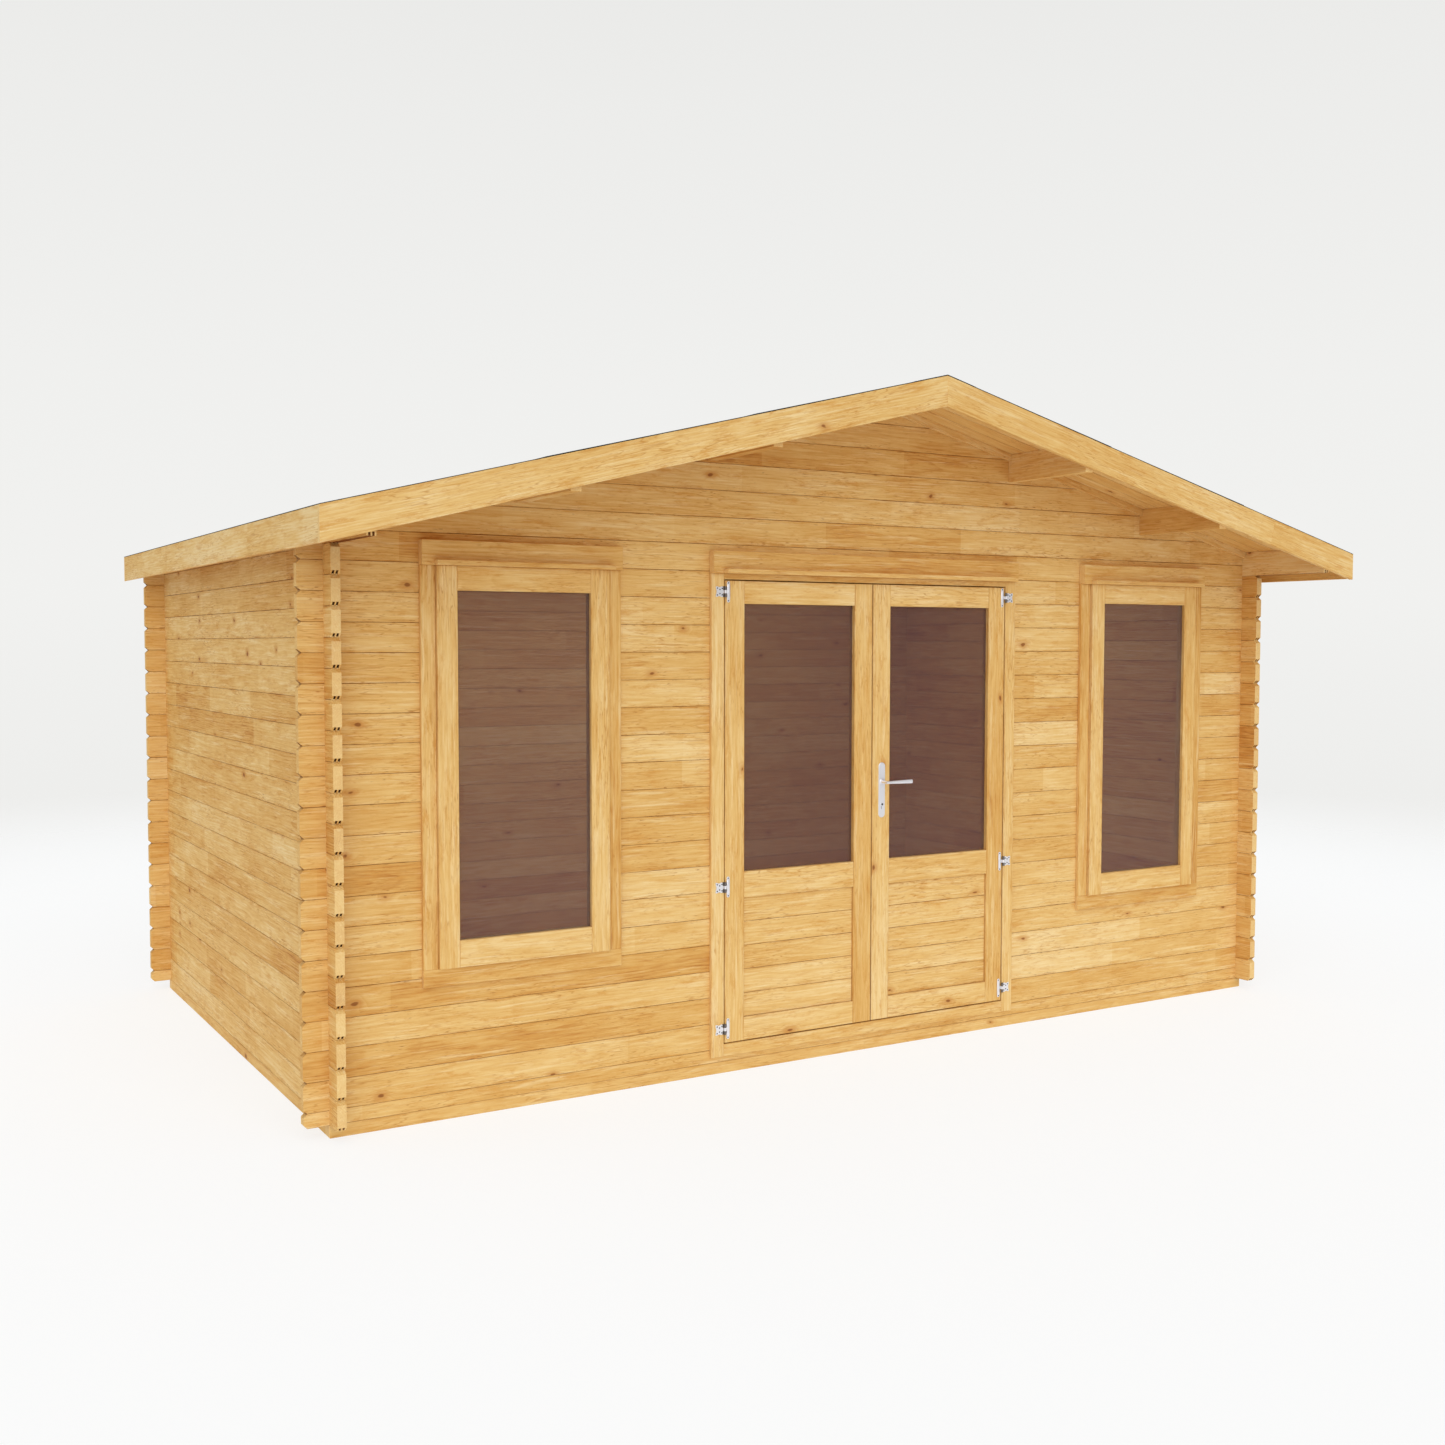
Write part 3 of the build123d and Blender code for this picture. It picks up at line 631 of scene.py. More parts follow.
class Finishes:
    """Every finish of the cabin, each made once."""

    def __init__(self) -> None:
        """Makes the materials."""
        self.log = Pine("log_pine", figure=1.05, blocks=0.20).material()
        # A darker copy of the log pine with more figure: the darkness is painted shade for the gable logs under the
        # eaves
        self.gable = Pine("gable_pine_painted_shade", shade=0.05, figure=1.18, blocks=0.22).material()
        # A darker copy of the log pine with more figure and blocks: the darkness is painted shade for the side walls,
        # which get less light than the front
        self.side = Pine("side_pine_painted_shade", shade=0.06, figure=1.25, blocks=0.24).material()
        self.surround = Pine("surround_pine", shade=0.10, figure=1.15, spread=0.22, knots=0.07).material()
        self.sash = Pine("sash_pine", shade=-0.07, figure=1.15, spread=0.2, knots=0.05).material()
        self.roof = Pine("roof_pine", shade=0.04, spread=0.3).material()
        self.barge = Pine("barge_pine", shade=-0.05, figure=1.25, spread=0.2, knots=0.06, blocks=0.12).material()
        self.bearer = Pine("bearer_pine", shade=0.04, spread=0.2).material()
        self.felt = Felt().material()
        self.glass = Glass("brown_glass", (0.082, 0.073, 0.087), 0.414).material()
        self.door_glass = Glass("door_glass", (0.094, 0.059, 0.062), 0.515).material()
        self.steel = Steel("satin_steel", (0.88, 0.87, 0.90), 0.34, 0.78).material()
        self.nail = Steel("zinc_nail", (0.34, 0.34, 0.35), 0.5, 0.6).material()
        # Nearly black steel: painted shade on the hinges' fixed knuckles and their tongues
        self.worn = Steel("knuckle_steel_painted_shade", (0.20, 0.18, 0.17), 0.45).material()
        # Nearly black: painted shade for the holes round the hinge screws and in the keyhole
        self.dark = Steel("hole_painted_shade", (0.035, 0.03, 0.028), 0.6, 0.4).material()


# ---- Surfaces


@dataclass
class Solid:
    """A closed surface in grain coordinates: along, across and out of a timber."""

    points: Array
    faces: list[list[int]]


def skin(rings: Array) -> Solid:
    """Joins a stack of rings into a closed solid: each ring's points meet the next ring's, and the ends get caps.

    Points of one place are merged, and the sides and faces that this empties are dropped.

    Args:
        rings: Points by ring, place in the ring, and axis.

    Returns:
        The solid.
    """
    count, around, _ = rings.shape
    index = np.arange(count * around).reshape(count, around)
    near, far = index[:-1], index[1:]
    quads = np.stack([near, np.roll(near, -1, 1), np.roll(far, -1, 1), far], axis=-1).reshape(-1, 4)
    points = rings.reshape(-1, 3)
    grid = np.round(points * GRID).astype(np.int64)
    _, first, into = np.unique(grid, axis=0, return_index=True, return_inverse=True)
    into = into.ravel()
    quads = into[quads]
    same = quads == np.roll(quads, -1, axis=1)
    lost = same.sum(axis=1)
    faces = quads[lost == 0].tolist()
    once = lost == 1
    faces += quads[once][~same[once]].reshape(-1, 3).tolist()
    for cap in (index[0][::-1], index[-1]):
        loop = into[cap]
        loop = loop[loop != np.roll(loop, -1)]
        if len(loop) > 2:
            faces.append(loop.tolist())
    return Solid(points[first], faces)


def board(outline: Array, start: float, end: float, edge: float, rake: Array | None = None) -> Solid:
    """A straight timber: an outline carried from start to end, with every edge planed off.

    The outline's corners are cut back by the edge along both their sides, and each end's ring is drawn in by the
    edge. An end that is cut at a slant moves along the grain by the rake times the place in the outline. Every face
    stands back by a trace of air, so that no two timbers share a corner.

    Args:
        outline: Convex outline as across and out, anticlockwise seen from the end.
        start: Where it starts along the grain.
        end: Where it ends.
        edge: Width of the planed edge.
        rake: Slants as a row each for start and end, by across and out.

    Returns:
        The solid.
    """
    before = np.roll(outline, 1, axis=0) - outline
    after = np.roll(outline, -1, axis=0) - outline
    before /= np.linalg.norm(before, axis=1, keepdims=True)
    after /= np.linalg.norm(after, axis=1, keepdims=True)
    outline = outline + (before + after) * AIR
    start, end = start + AIR, end - AIR
    full = np.stack([outline + before * edge, outline + after * edge], axis=1).reshape(-1, 2)
    inset = np.repeat(outline + (before + after) * edge, 2, axis=0)
    slant = np.zeros((2, 2)) if rake is None else rake
    rings = []
    for ring, place, turn in ((inset, start, 0), (full, start + edge, 0), (full, end - edge, 1), (inset, end, 1)):
        rings.append(np.column_stack([place + ring @ slant[turn], ring]))
    return skin(np.array(rings))


def rectangle(width: float, thickness: float) -> Array:
    """A board's outline, width across and thickness out."""
    return np.array([(0, 0), (width, 0), (width, thickness), (0, thickness)], float)


def lathe(profile: Profile, around: int) -> Solid:
    """A turned part: each profile point is a circle round the grain axis, radius across and place along.

    Args:
        profile: Place along and radius, a row each, from one end to the other.
        around: Points round.

    Returns:
        The solid.
    """
    angle = np.linspace(0.0, 2 * math.pi, around, endpoint=False)
    circle = np.column_stack([np.cos(angle), np.sin(angle)])
    rings = [np.column_stack([np.full(around, place), circle * radius]) for place, radius in profile]
    return skin(np.array(rings))


@dataclass(frozen=True)
class LogSection:
    """A planed log's section, with two tongues on top and two deeper grooves below, which leave two small holes."""

    height: float = 0.110
    thickness: float = 0.034
    chamfer: float = 0.0016
    slit: float = 0.0003
    groove: tuple[float, ...] = (0.0063, 0.0141, 0.0199, 0.0277)
    groove_depth: float = 0.0135
    tongue_rise: float = 0.003
    tongue_play: float = 0.0004

    def profile(self, foot: bool = True) -> Array:
        """The section as up and out, anticlockwise from the end.

        Args:
            foot: Whether it has grooves below.

        Returns:
            The outline's points.
        """
        c, t, low, high = self.chamfer, self.thickness, self.slit, self.height - self.slit
        points = [(low + c, 0), (high - c, 0), (high, c)]
        rise = high + self.tongue_rise
        for a, b in (self.groove[:2], self.groove[2:]):
            a, b = a + self.tongue_play, b - self.tongue_play
            points += [(high, a), (rise, a), (rise, b), (high, b)]
        points += [(high, t - c), (high - c, t), (low + c, t), (low, t - c)]
        if foot:
            for a, b in (self.groove[2:], self.groove[:2]):
                depth = low + self.groove_depth
                points += [(low, b), (depth, b), (depth, a), (low, a)]
        points += [(low, c)]
        return np.array(points, float)


def carried_log(
    profile: Array, places: Sequence[float], low: Limit, high: Limit, thinnest: float = 0.004
) -> list[Solid]:
    """A log with notches: its section is carried along, held between a floor and a ceiling at each place.

    The floor and the ceiling are straight between the places and may jump at them, which makes a shoulder. Where
    they leave less than the thinnest, the log is parted.

    Args:
        profile: The section as up and out.
        places: Where a limit bends or jumps, both ends included.
        low: The floor by place along, up from the section's foot.
        high: The ceiling likewise.
        thinnest: The least height that is still wood.

    Returns:
        One solid a stretch.
    """
    nudge = 1e-6
    ends = np.unique(np.round(np.array(places, float), 7))
    pairs = np.column_stack([ends[:-1], ends[1:]])
    inside = pairs + np.array([nudge, -nudge])
    floors, ceilings = low(inside), high(inside)
    for limit in (floors, ceilings):
        level = (limit[1:, 0] + limit[:-1, 1]) / 2
        bend = np.abs(limit[1:, 0] - limit[:-1, 1]) < nudge * 10
        limit[1:, 0] = np.where(bend, level, limit[1:, 0])
        limit[:-1, 1] = np.where(bend, level, limit[:-1, 1])
    solids, run = [], []
    for pair, floor, ceiling in zip(pairs, floors, ceilings):
        if (ceiling - floor).max() > thinnest:
            for place, least, most in zip(pair, floor, ceiling):
                up = np.clip(profile[:, 0], least, max(most, least))
                run.append(np.column_stack([np.full(len(up), place), up, profile[:, 1]]))
        elif run:
            solids.append(skin(np.array(run)))
            run = []
    if run:
        solids.append(skin(np.array(run)))
    return solids


def add_object(name: str, data: bpy.types.ID) -> bpy.types.Object:
    """Makes an object and links it to the scene.

    Args:
        name: The object's name.
        data: What it holds.

    Returns:
        The object.
    """
    made = bpy.data.objects.new(name, data)
    bpy.context.scene.collection.objects.link(made)
    return made


@dataclass(frozen=True)
class Chunk:
    """A solid in its place, with what the finishes read at each of its points."""

    points: Array
    faces: list[list[int]]
    grain: Array
    axis: Array
    tone: Array
    edge: Array
    joint: Array


@dataclass
class Pile:
    """Timbers or fittings gathered into one piece.

    Attributes:
        name: The piece's name.
        seed: Where its own run of chance starts.
        tip: How much painted shade the chamfers at its timbers' ends get.
        chunks: The solids so far.
        count: How many points they have.
    """

    name: str
    seed: int
    tip: float = 0.0
    chunks: list[Chunk] = field(default_factory=list)
    count: int = 0

    def __post_init__(self) -> None:
        """Starts the run of chance."""
        self.chance = np.random.default_rng(self.seed)

    def add(
        self,
        solids: Solid | Iterable[Solid],
        origin: Sequence[float],
        along: Sequence[float],
        across: Sequence[float],
        joint: float = 0.0,
    ) -> None:
        """Puts solids of one timber in place.

        Each gets a pith near or outside its section, a place along the tree, a brightness and a warmth by chance.

        Args:
            solids: One solid or several of the same timber.
            origin: Where its grain coordinates start.
            along: Direction of the grain.
            across: Direction across its face.
            joint: How dark the joints along its two long sides are.
        """
        along, across = np.array(along, float), np.array(across, float)
        basis = np.stack([along, across, np.cross(along, across)])
        solids = [solids] if isinstance(solids, Solid) else list(solids)
        if not solids:
            return
        span = np.concatenate([s.points for s in solids])
        (low, inner), (high, outer) = span[:, 1:].min(axis=0), span[:, 1:].max(axis=0)
        width = high - low
        pith = np.array(
            [
                self.chance.uniform(-80.0, 80.0),
                -low - width * self.chance.uniform(-0.1, 1.1),
                -inner + ((outer - inner) * self.chance.uniform(0.3, 1.6) + 0.01),
            ]
        )
        # the third part is how much painted shade the chamfers get
        tone = [*self.chance.random(2), self.tip]
        for solid in solids:
            total = len(solid.points)
            _, up, out = solid.points.T
            self.chunks.append(
                Chunk(
                    points=np.array(origin, float) + solid.points @ basis,
                    faces=[[number + self.count for number in face] for face in solid.faces],
                    grain=solid.points + pith,
                    axis=np.tile(along, (total, 1)),
                    tone=np.tile(tone, (total, 1)),
                    edge=np.column_stack([up - low, high - up, np.minimum(out - inner, outer - out)]),
                    joint=np.full(total, joint),
                )
            )
            self.count += total

    def bar(
        self, low: Sequence[float], high: Sequence[float], grain: Grain, edge: float = PLANED, joint: float = 0.0
    ) -> None:
        """Fills an upright box with one straight timber.

        Args:
            low: The box's lowest corner.
            high: Its highest corner.
            grain: Which way it runs.
            edge: Width of its planed edges.
            joint: How dark the joints along its long sides are.
        """
        along, across = (np.array(direction) for direction in grain.value)
        basis = np.stack([along, across, np.cross(along, across)])
        low, high = np.minimum(low, high), np.maximum(low, high)
        size = np.abs(basis @ (high - low))
        origin = np.where(basis.sum(axis=0) > 0, low, high)
        self.add(board(rectangle(size[1], size[2]), 0.0, size[0], edge), origin, along, across, joint)

    def finish(
        self, body: Body, slot: Slot, material: bpy.types.Material, replaces: Sequence[str] = (), smooth: bool = False
    ) -> bpy.types.Object:
        """Makes the piece's object.

        Args:
            body: What it rides on.
            slot: Its material slot; not used.
            material: Its finish.
            replaces: The nodes that it stands for.
            smooth: Whether its turned faces are shaded round.

        Returns:
            The object.
        """
        points = np.concatenate([chunk.points for chunk in self.chunks])
        mesh = bpy.data.meshes.new(self.name)
        mesh.from_pydata(points.tolist(), [], [face for chunk in self.chunks for face in chunk.faces])
        shape = bmesh.new()
        shape.from_mesh(mesh)
        flat = [face for face in shape.faces if face.calc_area() < FLAT_AREA]
        longest = dict.fromkeys(max(face.edges, key=lambda edge: edge.calc_length()) for face in flat)
        bmesh.ops.dissolve_edges(shape, edges=list(longest), use_verts=False)
        shape.to_mesh(mesh)
        shape.free()
        for name in ("grain", "axis", "tone", "edge", "joint"):
            values = np.concatenate([getattr(chunk, name) for chunk in self.chunks]).astype(np.float32)
            kind, column = ("FLOAT", "value") if values.ndim == 1 else ("FLOAT_VECTOR", "vector")
            mesh.attributes.new(name, kind, "POINT").data.foreach_set(column, values.ravel())
        mesh.materials.append(material)
        mesh.polygons.foreach_set("use_smooth", np.full(len(mesh.polygons), smooth))
        if smooth:
            mesh.set_sharp_from_angle(angle=SHARP)
        made = add_object(self.name, mesh)
        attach(made, body.value)
        if replaces:
            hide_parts(*replaces)
        log.info("%s: %d faces on %s", self.name, len(mesh.polygons), body.value)
        return made


# ---- Sizes


@dataclass(frozen=True)
class Plan:
    """Sizes that several sub-assemblies share."""

    half_width: float = 2.406
    thickness: float = 0.034
    course: float = 0.110
    front: float = -1.233
    rear: float = 1.591
    run_on: float = 0.094
    base: float = 0.048
    side_courses: int = 19
    eaves_log: float = 0.114
    pitch: float = math.radians(14.0)
    roof_front: float = -1.746
    roof_rear: float = 1.746
    half_span: float = 2.565
    barge: float = 0.020
    roof_board: float = 0.018
    window_outer: float = 2.053
    window_width: float = 0.822
    trim_lap: float = 0.028
    trim: float = 0.018
    door_half: float = 0.816
    door_trim: float = 0.060
    sill_course: int = 4
    head_course: int = 18
    head_thickness: float = 0.038
    ledge_projection: float = 0.072
    ledge_thickness: float = 0.018
    ledge_inset: float = 0.047
    ledge_drop: float = 0.009
    head_rise: float = 0.083
    purlins: tuple[float, float] = (0.804, 1.650)
    purlin_width: float = 0.044
    door_face: float = -1.249
    threshold_foot: float = 0.074
    felt_courses: int = 3
    felt_lap: float = 0.060
    felt_cap: float = 0.150
    frame_back: float = -1.181

    @property
    def notch(self) -> float:
        """How deep a log is let into the one that it crosses."""
        return self.course / 4

    @property
    def slope(self) -> float:
        """Fall of the roof by run."""
        return math.tan(self.pitch)

    @property
    def first_joint(self) -> float:
        """Top of the front and rear walls' half log."""
        return self.base + self.course / 2

    @property
    def side_top(self) -> float:
        """Top of the side walls' last full log."""
        return self.base + self.side_courses * self.course

    @property
    def ridge(self) -> float:
        """Underside of the roof boards in the middle."""
        return self.side_top + self.eaves_log + self.half_width * self.slope

    @property
    def long_board(self) -> float:
        """Length of what runs from bargeboard to bargeboard."""
        return self.roof_rear - self.roof_front - 2 * self.barge

    @property
    def felt_laps(self) -> list[float]:
        """How far down the slope each sheet of felt ends, the ridge strip's edge first."""
        course = self.half_span / math.cos(self.pitch) / self.felt_courses
        return [self.felt_cap] + [course * number + self.felt_lap for number in range(1, self.felt_courses)]

    @property
    def board_rise(self) -> float:
        """A roof board's thickness measured upright."""
        return self.roof_board / math.cos(self.pitch)

    @property
    def head_joint(self) -> float:
        """Top of the openings in the logs."""
        return self.first_joint + self.head_course * self.course

    @property
    def sill_joint(self) -> float:
        """Foot of the windows' openings in the logs."""
        return self.first_joint + self.sill_course * self.course

    @property
    def ledge_foot(self) -> float:
        """Underside of the drip ledges."""
        return self.head_joint - self.ledge_drop

    @property
    def head_top(self) -> float:
        """Top of the head boards."""
        return self.head_joint + self.head_rise

    def underside(self, x: float | Array) -> float | Array:
        """Underside of the roof boards at a place across the cabin."""
        return self.ridge - np.abs(x) * self.slope


PLAN = Plan()


# ---- Log work


@dataclass(frozen=True)
class Wall:
    """Where a wall stands.

    The tips and the crossing, where the other walls' logs begin and end, are measured from the wall's middle.
    """

    tip: float
    crossing: tuple[float, float]
    middle: float
    face: float
    crosswise: bool


@dataclass(frozen=True)
class Course:
    """One course of a wall: its stretches, what notches it below and above, and what else cuts its top."""

    bottom: float
    height: float
    spans: Sequence[tuple[float, float]]
    notched: tuple[bool, bool] = (True, True)
    plain: bool = False
    ceiling: Limit | None = None
    bends: Sequence[float] = ()


@dataclass
class LogWork:
    """The four walls of crossed logs, the eaves logs and the purlins."""

    finishes: Finishes
    end_chamfer: float = 0.014
    purlin_depth: float = 0.120
    feather: float = 0.0030
    section: LogSection = field(default_factory=LogSection)

    def log(self, pile: Pile, wall: Wall, course: Course) -> None:
        """Lays one course of a wall.

        The floor rises by a quarter course where another wall's log passes below, the ceiling drops likewise, and
        both close in towards the log's tips, which cuts the chamfers.

        Args:
            pile: The piece that it goes to.
            wall: The wall that it is in.
            course: Its sizes.
        """
        chamfer = self.end_chamfer
        near, far = wall.crossing

        def crossed(u: Array) -> Array:
            """Where another wall's logs pass."""
            return (np.abs(u) > near) & (np.abs(u) < far)

        def gone(u: Array) -> Array:
            """How much the chamfer takes off."""
            return chamfer - (wall.tip - np.abs(u))

        def low(u: Array) -> Array:
            """The log's floor."""
            return np.where(crossed(u) & course.notched[0], PLAN.notch, np.clip(gone(u), 0.0, None))

        def high(u: Array) -> Array:
            """The log's ceiling.

            Args:
                u: Places along the wall.

            Returns:
                Its height above the log's foot.
            """
            top = np.where(gone(u) > 0, course.height - gone(u), NO_CEILING)
            top = np.where(crossed(u) & course.notched[1], course.height - PLAN.notch, top)
            return top if course.ceiling is None else np.minimum(top, course.ceiling(u) - course.bottom)

        profile = replace(self.section, height=course.height).profile(foot=not course.plain)
        marks = np.array([wall.tip, wall.tip - chamfer, near, far])
        marks = np.concatenate([-marks, marks, np.array(course.bends, float)])
        if wall.crosswise:
            origin, along = (wall.middle, wall.face, course.bottom), SIDEWAYS
        else:
            origin, along = (wall.face, wall.middle, course.bottom), BACKWARD
        for start, end in course.spans:
            inner = marks[(marks > start) & (marks < end)]
            pile.add(carried_log(profile, [start, *inner, end], low, high), origin, along, UPWARD, 1.0)

    def side_wall(self, side: Side) -> None:
        """Builds a side wall, each course one log from front tip to rear tip.

        Args:
            side: Which side it is on.
        """
        pile = Pile(f"logs_{side.word}", 11 + side.value)
        half = (PLAN.rear - PLAN.front) / 2
        tip = half + PLAN.run_on
        face = side.value * PLAN.half_width - (PLAN.thickness if side is Side.RIGHT else 0.0)
        wall = Wall(tip, (half - PLAN.thickness, half), (PLAN.front + PLAN.rear) / 2, face, False)
        for number in range(PLAN.side_courses):
            self.log(pile, wall, Course(PLAN.base + number * PLAN.course, PLAN.course, [(-tip, tip)]))
        # the side walls take the darker copy of the pine, painted shade
        pile.finish(Body.CABIN, Slot.LOG, self.finishes.side, [f"wall_{side.word}"])

    def gable_ceiling(self) -> tuple[Limit, list[float]]:
        """What cuts the gable logs: the roof's underside, and a pocket for each purlin.

        Returns:
            The ceiling by place, and where it bends or jumps.
        """
        half = PLAN.purlin_width / 2

        def ceiling(u: Array) -> Array:
            """The roof's underside and the pockets.

            Args:
                u: Places along the wall.

            Returns:
                Its height.
            """
            top = PLAN.underside(u)
            for place in PLAN.purlins:
                inside = np.abs(np.abs(u) - place) < half
                top = np.where(inside, PLAN.underside(place) - self.purlin_depth, top)
            return top

        bends = [0.0]
        for place in PLAN.purlins:
            bends += [place - half, place + half, -place - half, -place + half]
        return ceiling, bends

    def cross_course(self, number: int, tip: float, openings: bool) -> Course:
        """Sizes a course of the front or rear wall.

        Args:
            number: Its number above the half log, which is -1.
            tip: How far from the middle its tips are.
            openings: Whether the windows and the door cut it.

        Returns:
            The course.
        """
        half = number < 0
        bottom = PLAN.base if half else PLAN.first_joint + number * PLAN.course
        height = PLAN.course / 2 if half else PLAN.course
        spans = [(-tip, tip)]
        door = PLAN.door_half - PLAN.trim_lap
        outer = PLAN.window_outer - PLAN.trim_lap
        inner = PLAN.window_outer - PLAN.window_width + PLAN.trim_lap
        ceiling, bends = self.gable_ceiling()
        if openings and half:
            ceiling = self.doorway_ceiling
            bends = [-door, door]
        elif openings and number < PLAN.sill_course:
            spans = [(-tip, -door), (door, tip)]
        elif openings and number < PLAN.head_course:
            spans = [(-tip, -outer), (-inner, -door), (door, inner), (outer, tip)]
        for level in (bottom, bottom + height, bottom + height + self.section.tongue_rise):
            reach = (PLAN.ridge - level) / PLAN.slope
            bends += [-reach, reach] if 0 < reach < tip else []
        reach = (PLAN.ridge - bottom - self.feather) / PLAN.slope
        return Course(
            bottom,
            height,
            spans=[(max(a, -reach), min(b, reach)) for a, b in spans],
            notched=(not half and bottom < PLAN.side_top + 3 * PLAN.notch, bottom < PLAN.side_top),
            plain=half or reach < tip,
            ceiling=ceiling,
            bends=bends,
        )

    def doorway_ceiling(self, u: Array) -> Array:
        """What cuts the front half log: the threshold's foot between the door's posts."""
        return np.where(np.abs(u) < PLAN.door_half - PLAN.trim_lap, PLAN.threshold_foot, PLAN.ridge)

    def cross_logs(self, pile: Pile, courses: Iterable[int], face: float, openings: bool) -> None:
        """Lays courses of the front or rear wall.

        Args:
            pile: The piece that they go to.
            courses: Course numbers above the half log, which is -1.
            face: Where the wall's inner face is.
            openings: Whether the windows and the door cut them.
        """
        tip = PLAN.half_width + PLAN.run_on
        wall = Wall(tip, (PLAN.half_width - PLAN.thickness, PLAN.half_width), 0.0, face, True)
        for number in courses:
            self.log(pile, wall, self.cross_course(number, tip, openings))

    def gable_walls(self) -> None:
        """Builds the rear wall and the pieces of the front wall."""
        courses = int((PLAN.ridge - PLAN.first_joint) // PLAN.course) + 1
        # 1.0: the chamfers at the logs' tips get painted shade
        rear = Pile("logs_rear", 21, 1.0)
        self.cross_logs(rear, range(-1, courses), PLAN.rear, False)
        rear.finish(Body.CABIN, Slot.LOG, self.finishes.log, ["wall_rear"])
        inner = PLAN.front + PLAN.thickness
        stretches = (
            ("log_front_half", range(-1, 0), ["front_half_log"]),
            ("logs_front_low", range(0, PLAN.sill_course), ["front_low_left", "front_low_right"]),
            (
                "logs_front_middle",
                range(PLAN.sill_course, PLAN.head_course),
                ["front_corner_left", "front_corner_right", "front_pier_left", "front_pier_right"],
            ),
            ("logs_front_gable", range(PLAN.head_course, courses), ["front_gable"]),
        )
        for number, (name, rows, nodes) in enumerate(stretches):
            # 1.0: the chamfers at the logs' tips get painted shade
            pile = Pile(name, 31 + number, 1.0)
            self.cross_logs(pile, rows, inner, True)
            # the gable logs take the darker copy of the pine, painted shade under the eaves
            finish = self.finishes.gable if rows.start == PLAN.head_course else self.finishes.log
            pile.finish(Body.CABIN, Slot.LOG, finish, nodes)

    def eaves_log(self, side: Side) -> None:
        """Builds the top log of a side wall, whose head follows the roof and which carries both overhangs.

        Args:
            side: Which side it is on.
        """
        pile = Pile(f"eaves_timber_{side.word}", 51 + side.value)
        outer, inner = PLAN.half_width, PLAN.half_width - PLAN.thickness
        t, c = PLAN.thickness, self.section.chamfer
        heads = [PLAN.underside(x) - PLAN.side_top for x in (outer, inner)]
        near, far = heads if side is Side.LEFT else heads[::-1]
        profile = [(c, 0), (near, 0), (far, t), (c, t), (0, t - c)]
        for a, b in (self.section.groove[2:], self.section.groove[:2]):
            depth = self.section.groove_depth
            profile += [(0, b), (depth, b), (depth, a), (0, a)]
        half, middle = (PLAN.rear - PLAN.front) / 2, (PLAN.front + PLAN.rear) / 2
        start, end = PLAN.roof_front + PLAN.barge - middle, PLAN.roof_rear - PLAN.barge - middle

        def crossed(u: Array) -> Array:
            """Where the front and rear walls pass."""
            return (np.abs(u) > half - t) & (np.abs(u) < half)

        solids = carried_log(
            np.array([*profile, (0, c)]),
            [start, -half, t - half, half - t, half, end],
            lambda u: np.where(crossed(u), PLAN.notch, 0.0),
            lambda u: np.where(crossed(u), 3 * PLAN.notch, NO_CEILING),
        )
        face = side.value * outer - (t if side is Side.RIGHT else 0.0)
        pile.add(solids, (face, middle, PLAN.side_top), BACKWARD, UPWARD, 1.0)
        pile.finish(Body.CABIN, Slot.LOG, self.finishes.log, [f"eaves_log_{side.word}"])

    def purlin_run(self, side: Side) -> None:
        """Builds the two purlins under one slope, with heads planed to the roof.

        Args:
            side: Which side it is on.
        """
        pile = Pile(f"purlin_pair_{side.word}", 61 + side.value)
        width = PLAN.purlin_width
        for place in PLAN.purlins:
            x = [side.value * place - width / 2, side.value * place + width / 2]
            foot = PLAN.underside(place) - self.purlin_depth
            near, far = (PLAN.underside(value) - foot for value in x)
            timber = board(np.array([(0, 0), (near, 0), (far, width), (0, width)]), 0.0, PLAN.long_board, PLANED)
            pile.add(timber, (x[0], PLAN.roof_front + PLAN.barge, foot), BACKWARD, UPWARD)
        pile.finish(Body.CABIN, Slot.LOG, self.finishes.log, [f"purlins_{side.word}"])

    def build(self) -> None:
        """Builds every log and purlin."""
        for side in Side:
            self.side_wall(side)
            self.eaves_log(side)
            self.purlin_run(side)
        self.gable_walls()


# ---- Base


@dataclass
class Base:
    """Bearers and joists on the ground, and the floor boards."""

    finishes: Finishes
    bearer_width: float = 0.058
    joists: int = 9
    floor: float = 0.018
    boards: int = 24

    def build(self) -> None:
        """Builds the base's two pieces."""
        pile = Pile("base_bearers", 71)
        w, top, half = self.bearer_width, PLAN.base, PLAN.half_width
        for low in (PLAN.front, PLAN.rear - w):
            pile.bar((-half, low, 0), (half, low + w, top), Grain.X)
        for x in np.linspace(-half + w / 2, half - w / 2, self.joists):
            pile.bar((x - w / 2, PLAN.front + w, 0), (x + w / 2, PLAN.rear - w, top), Grain.Y)
        pile.finish(
            Body.CABIN, Slot.BEARER, self.finishes.bearer, ["bearers_front_rear", "bearers_side_joists"]
        )
        pile = Pile("floor_boards", 72)
        inner = half - PLAN.thickness
        edges = np.linspace(PLAN.front + PLAN.thickness, PLAN.rear - PLAN.thickness, self.boards + 1)
        for low, high in zip(edges[:-1], edges[1:]):
            pile.bar((-inner, low, top), (inner, high, top + self.floor), Grain.FLAT_X, joint=1.0)
        pile.finish(Body.CABIN, Slot.ROOF, self.finishes.roof, ["floor"])


# ---- Roof


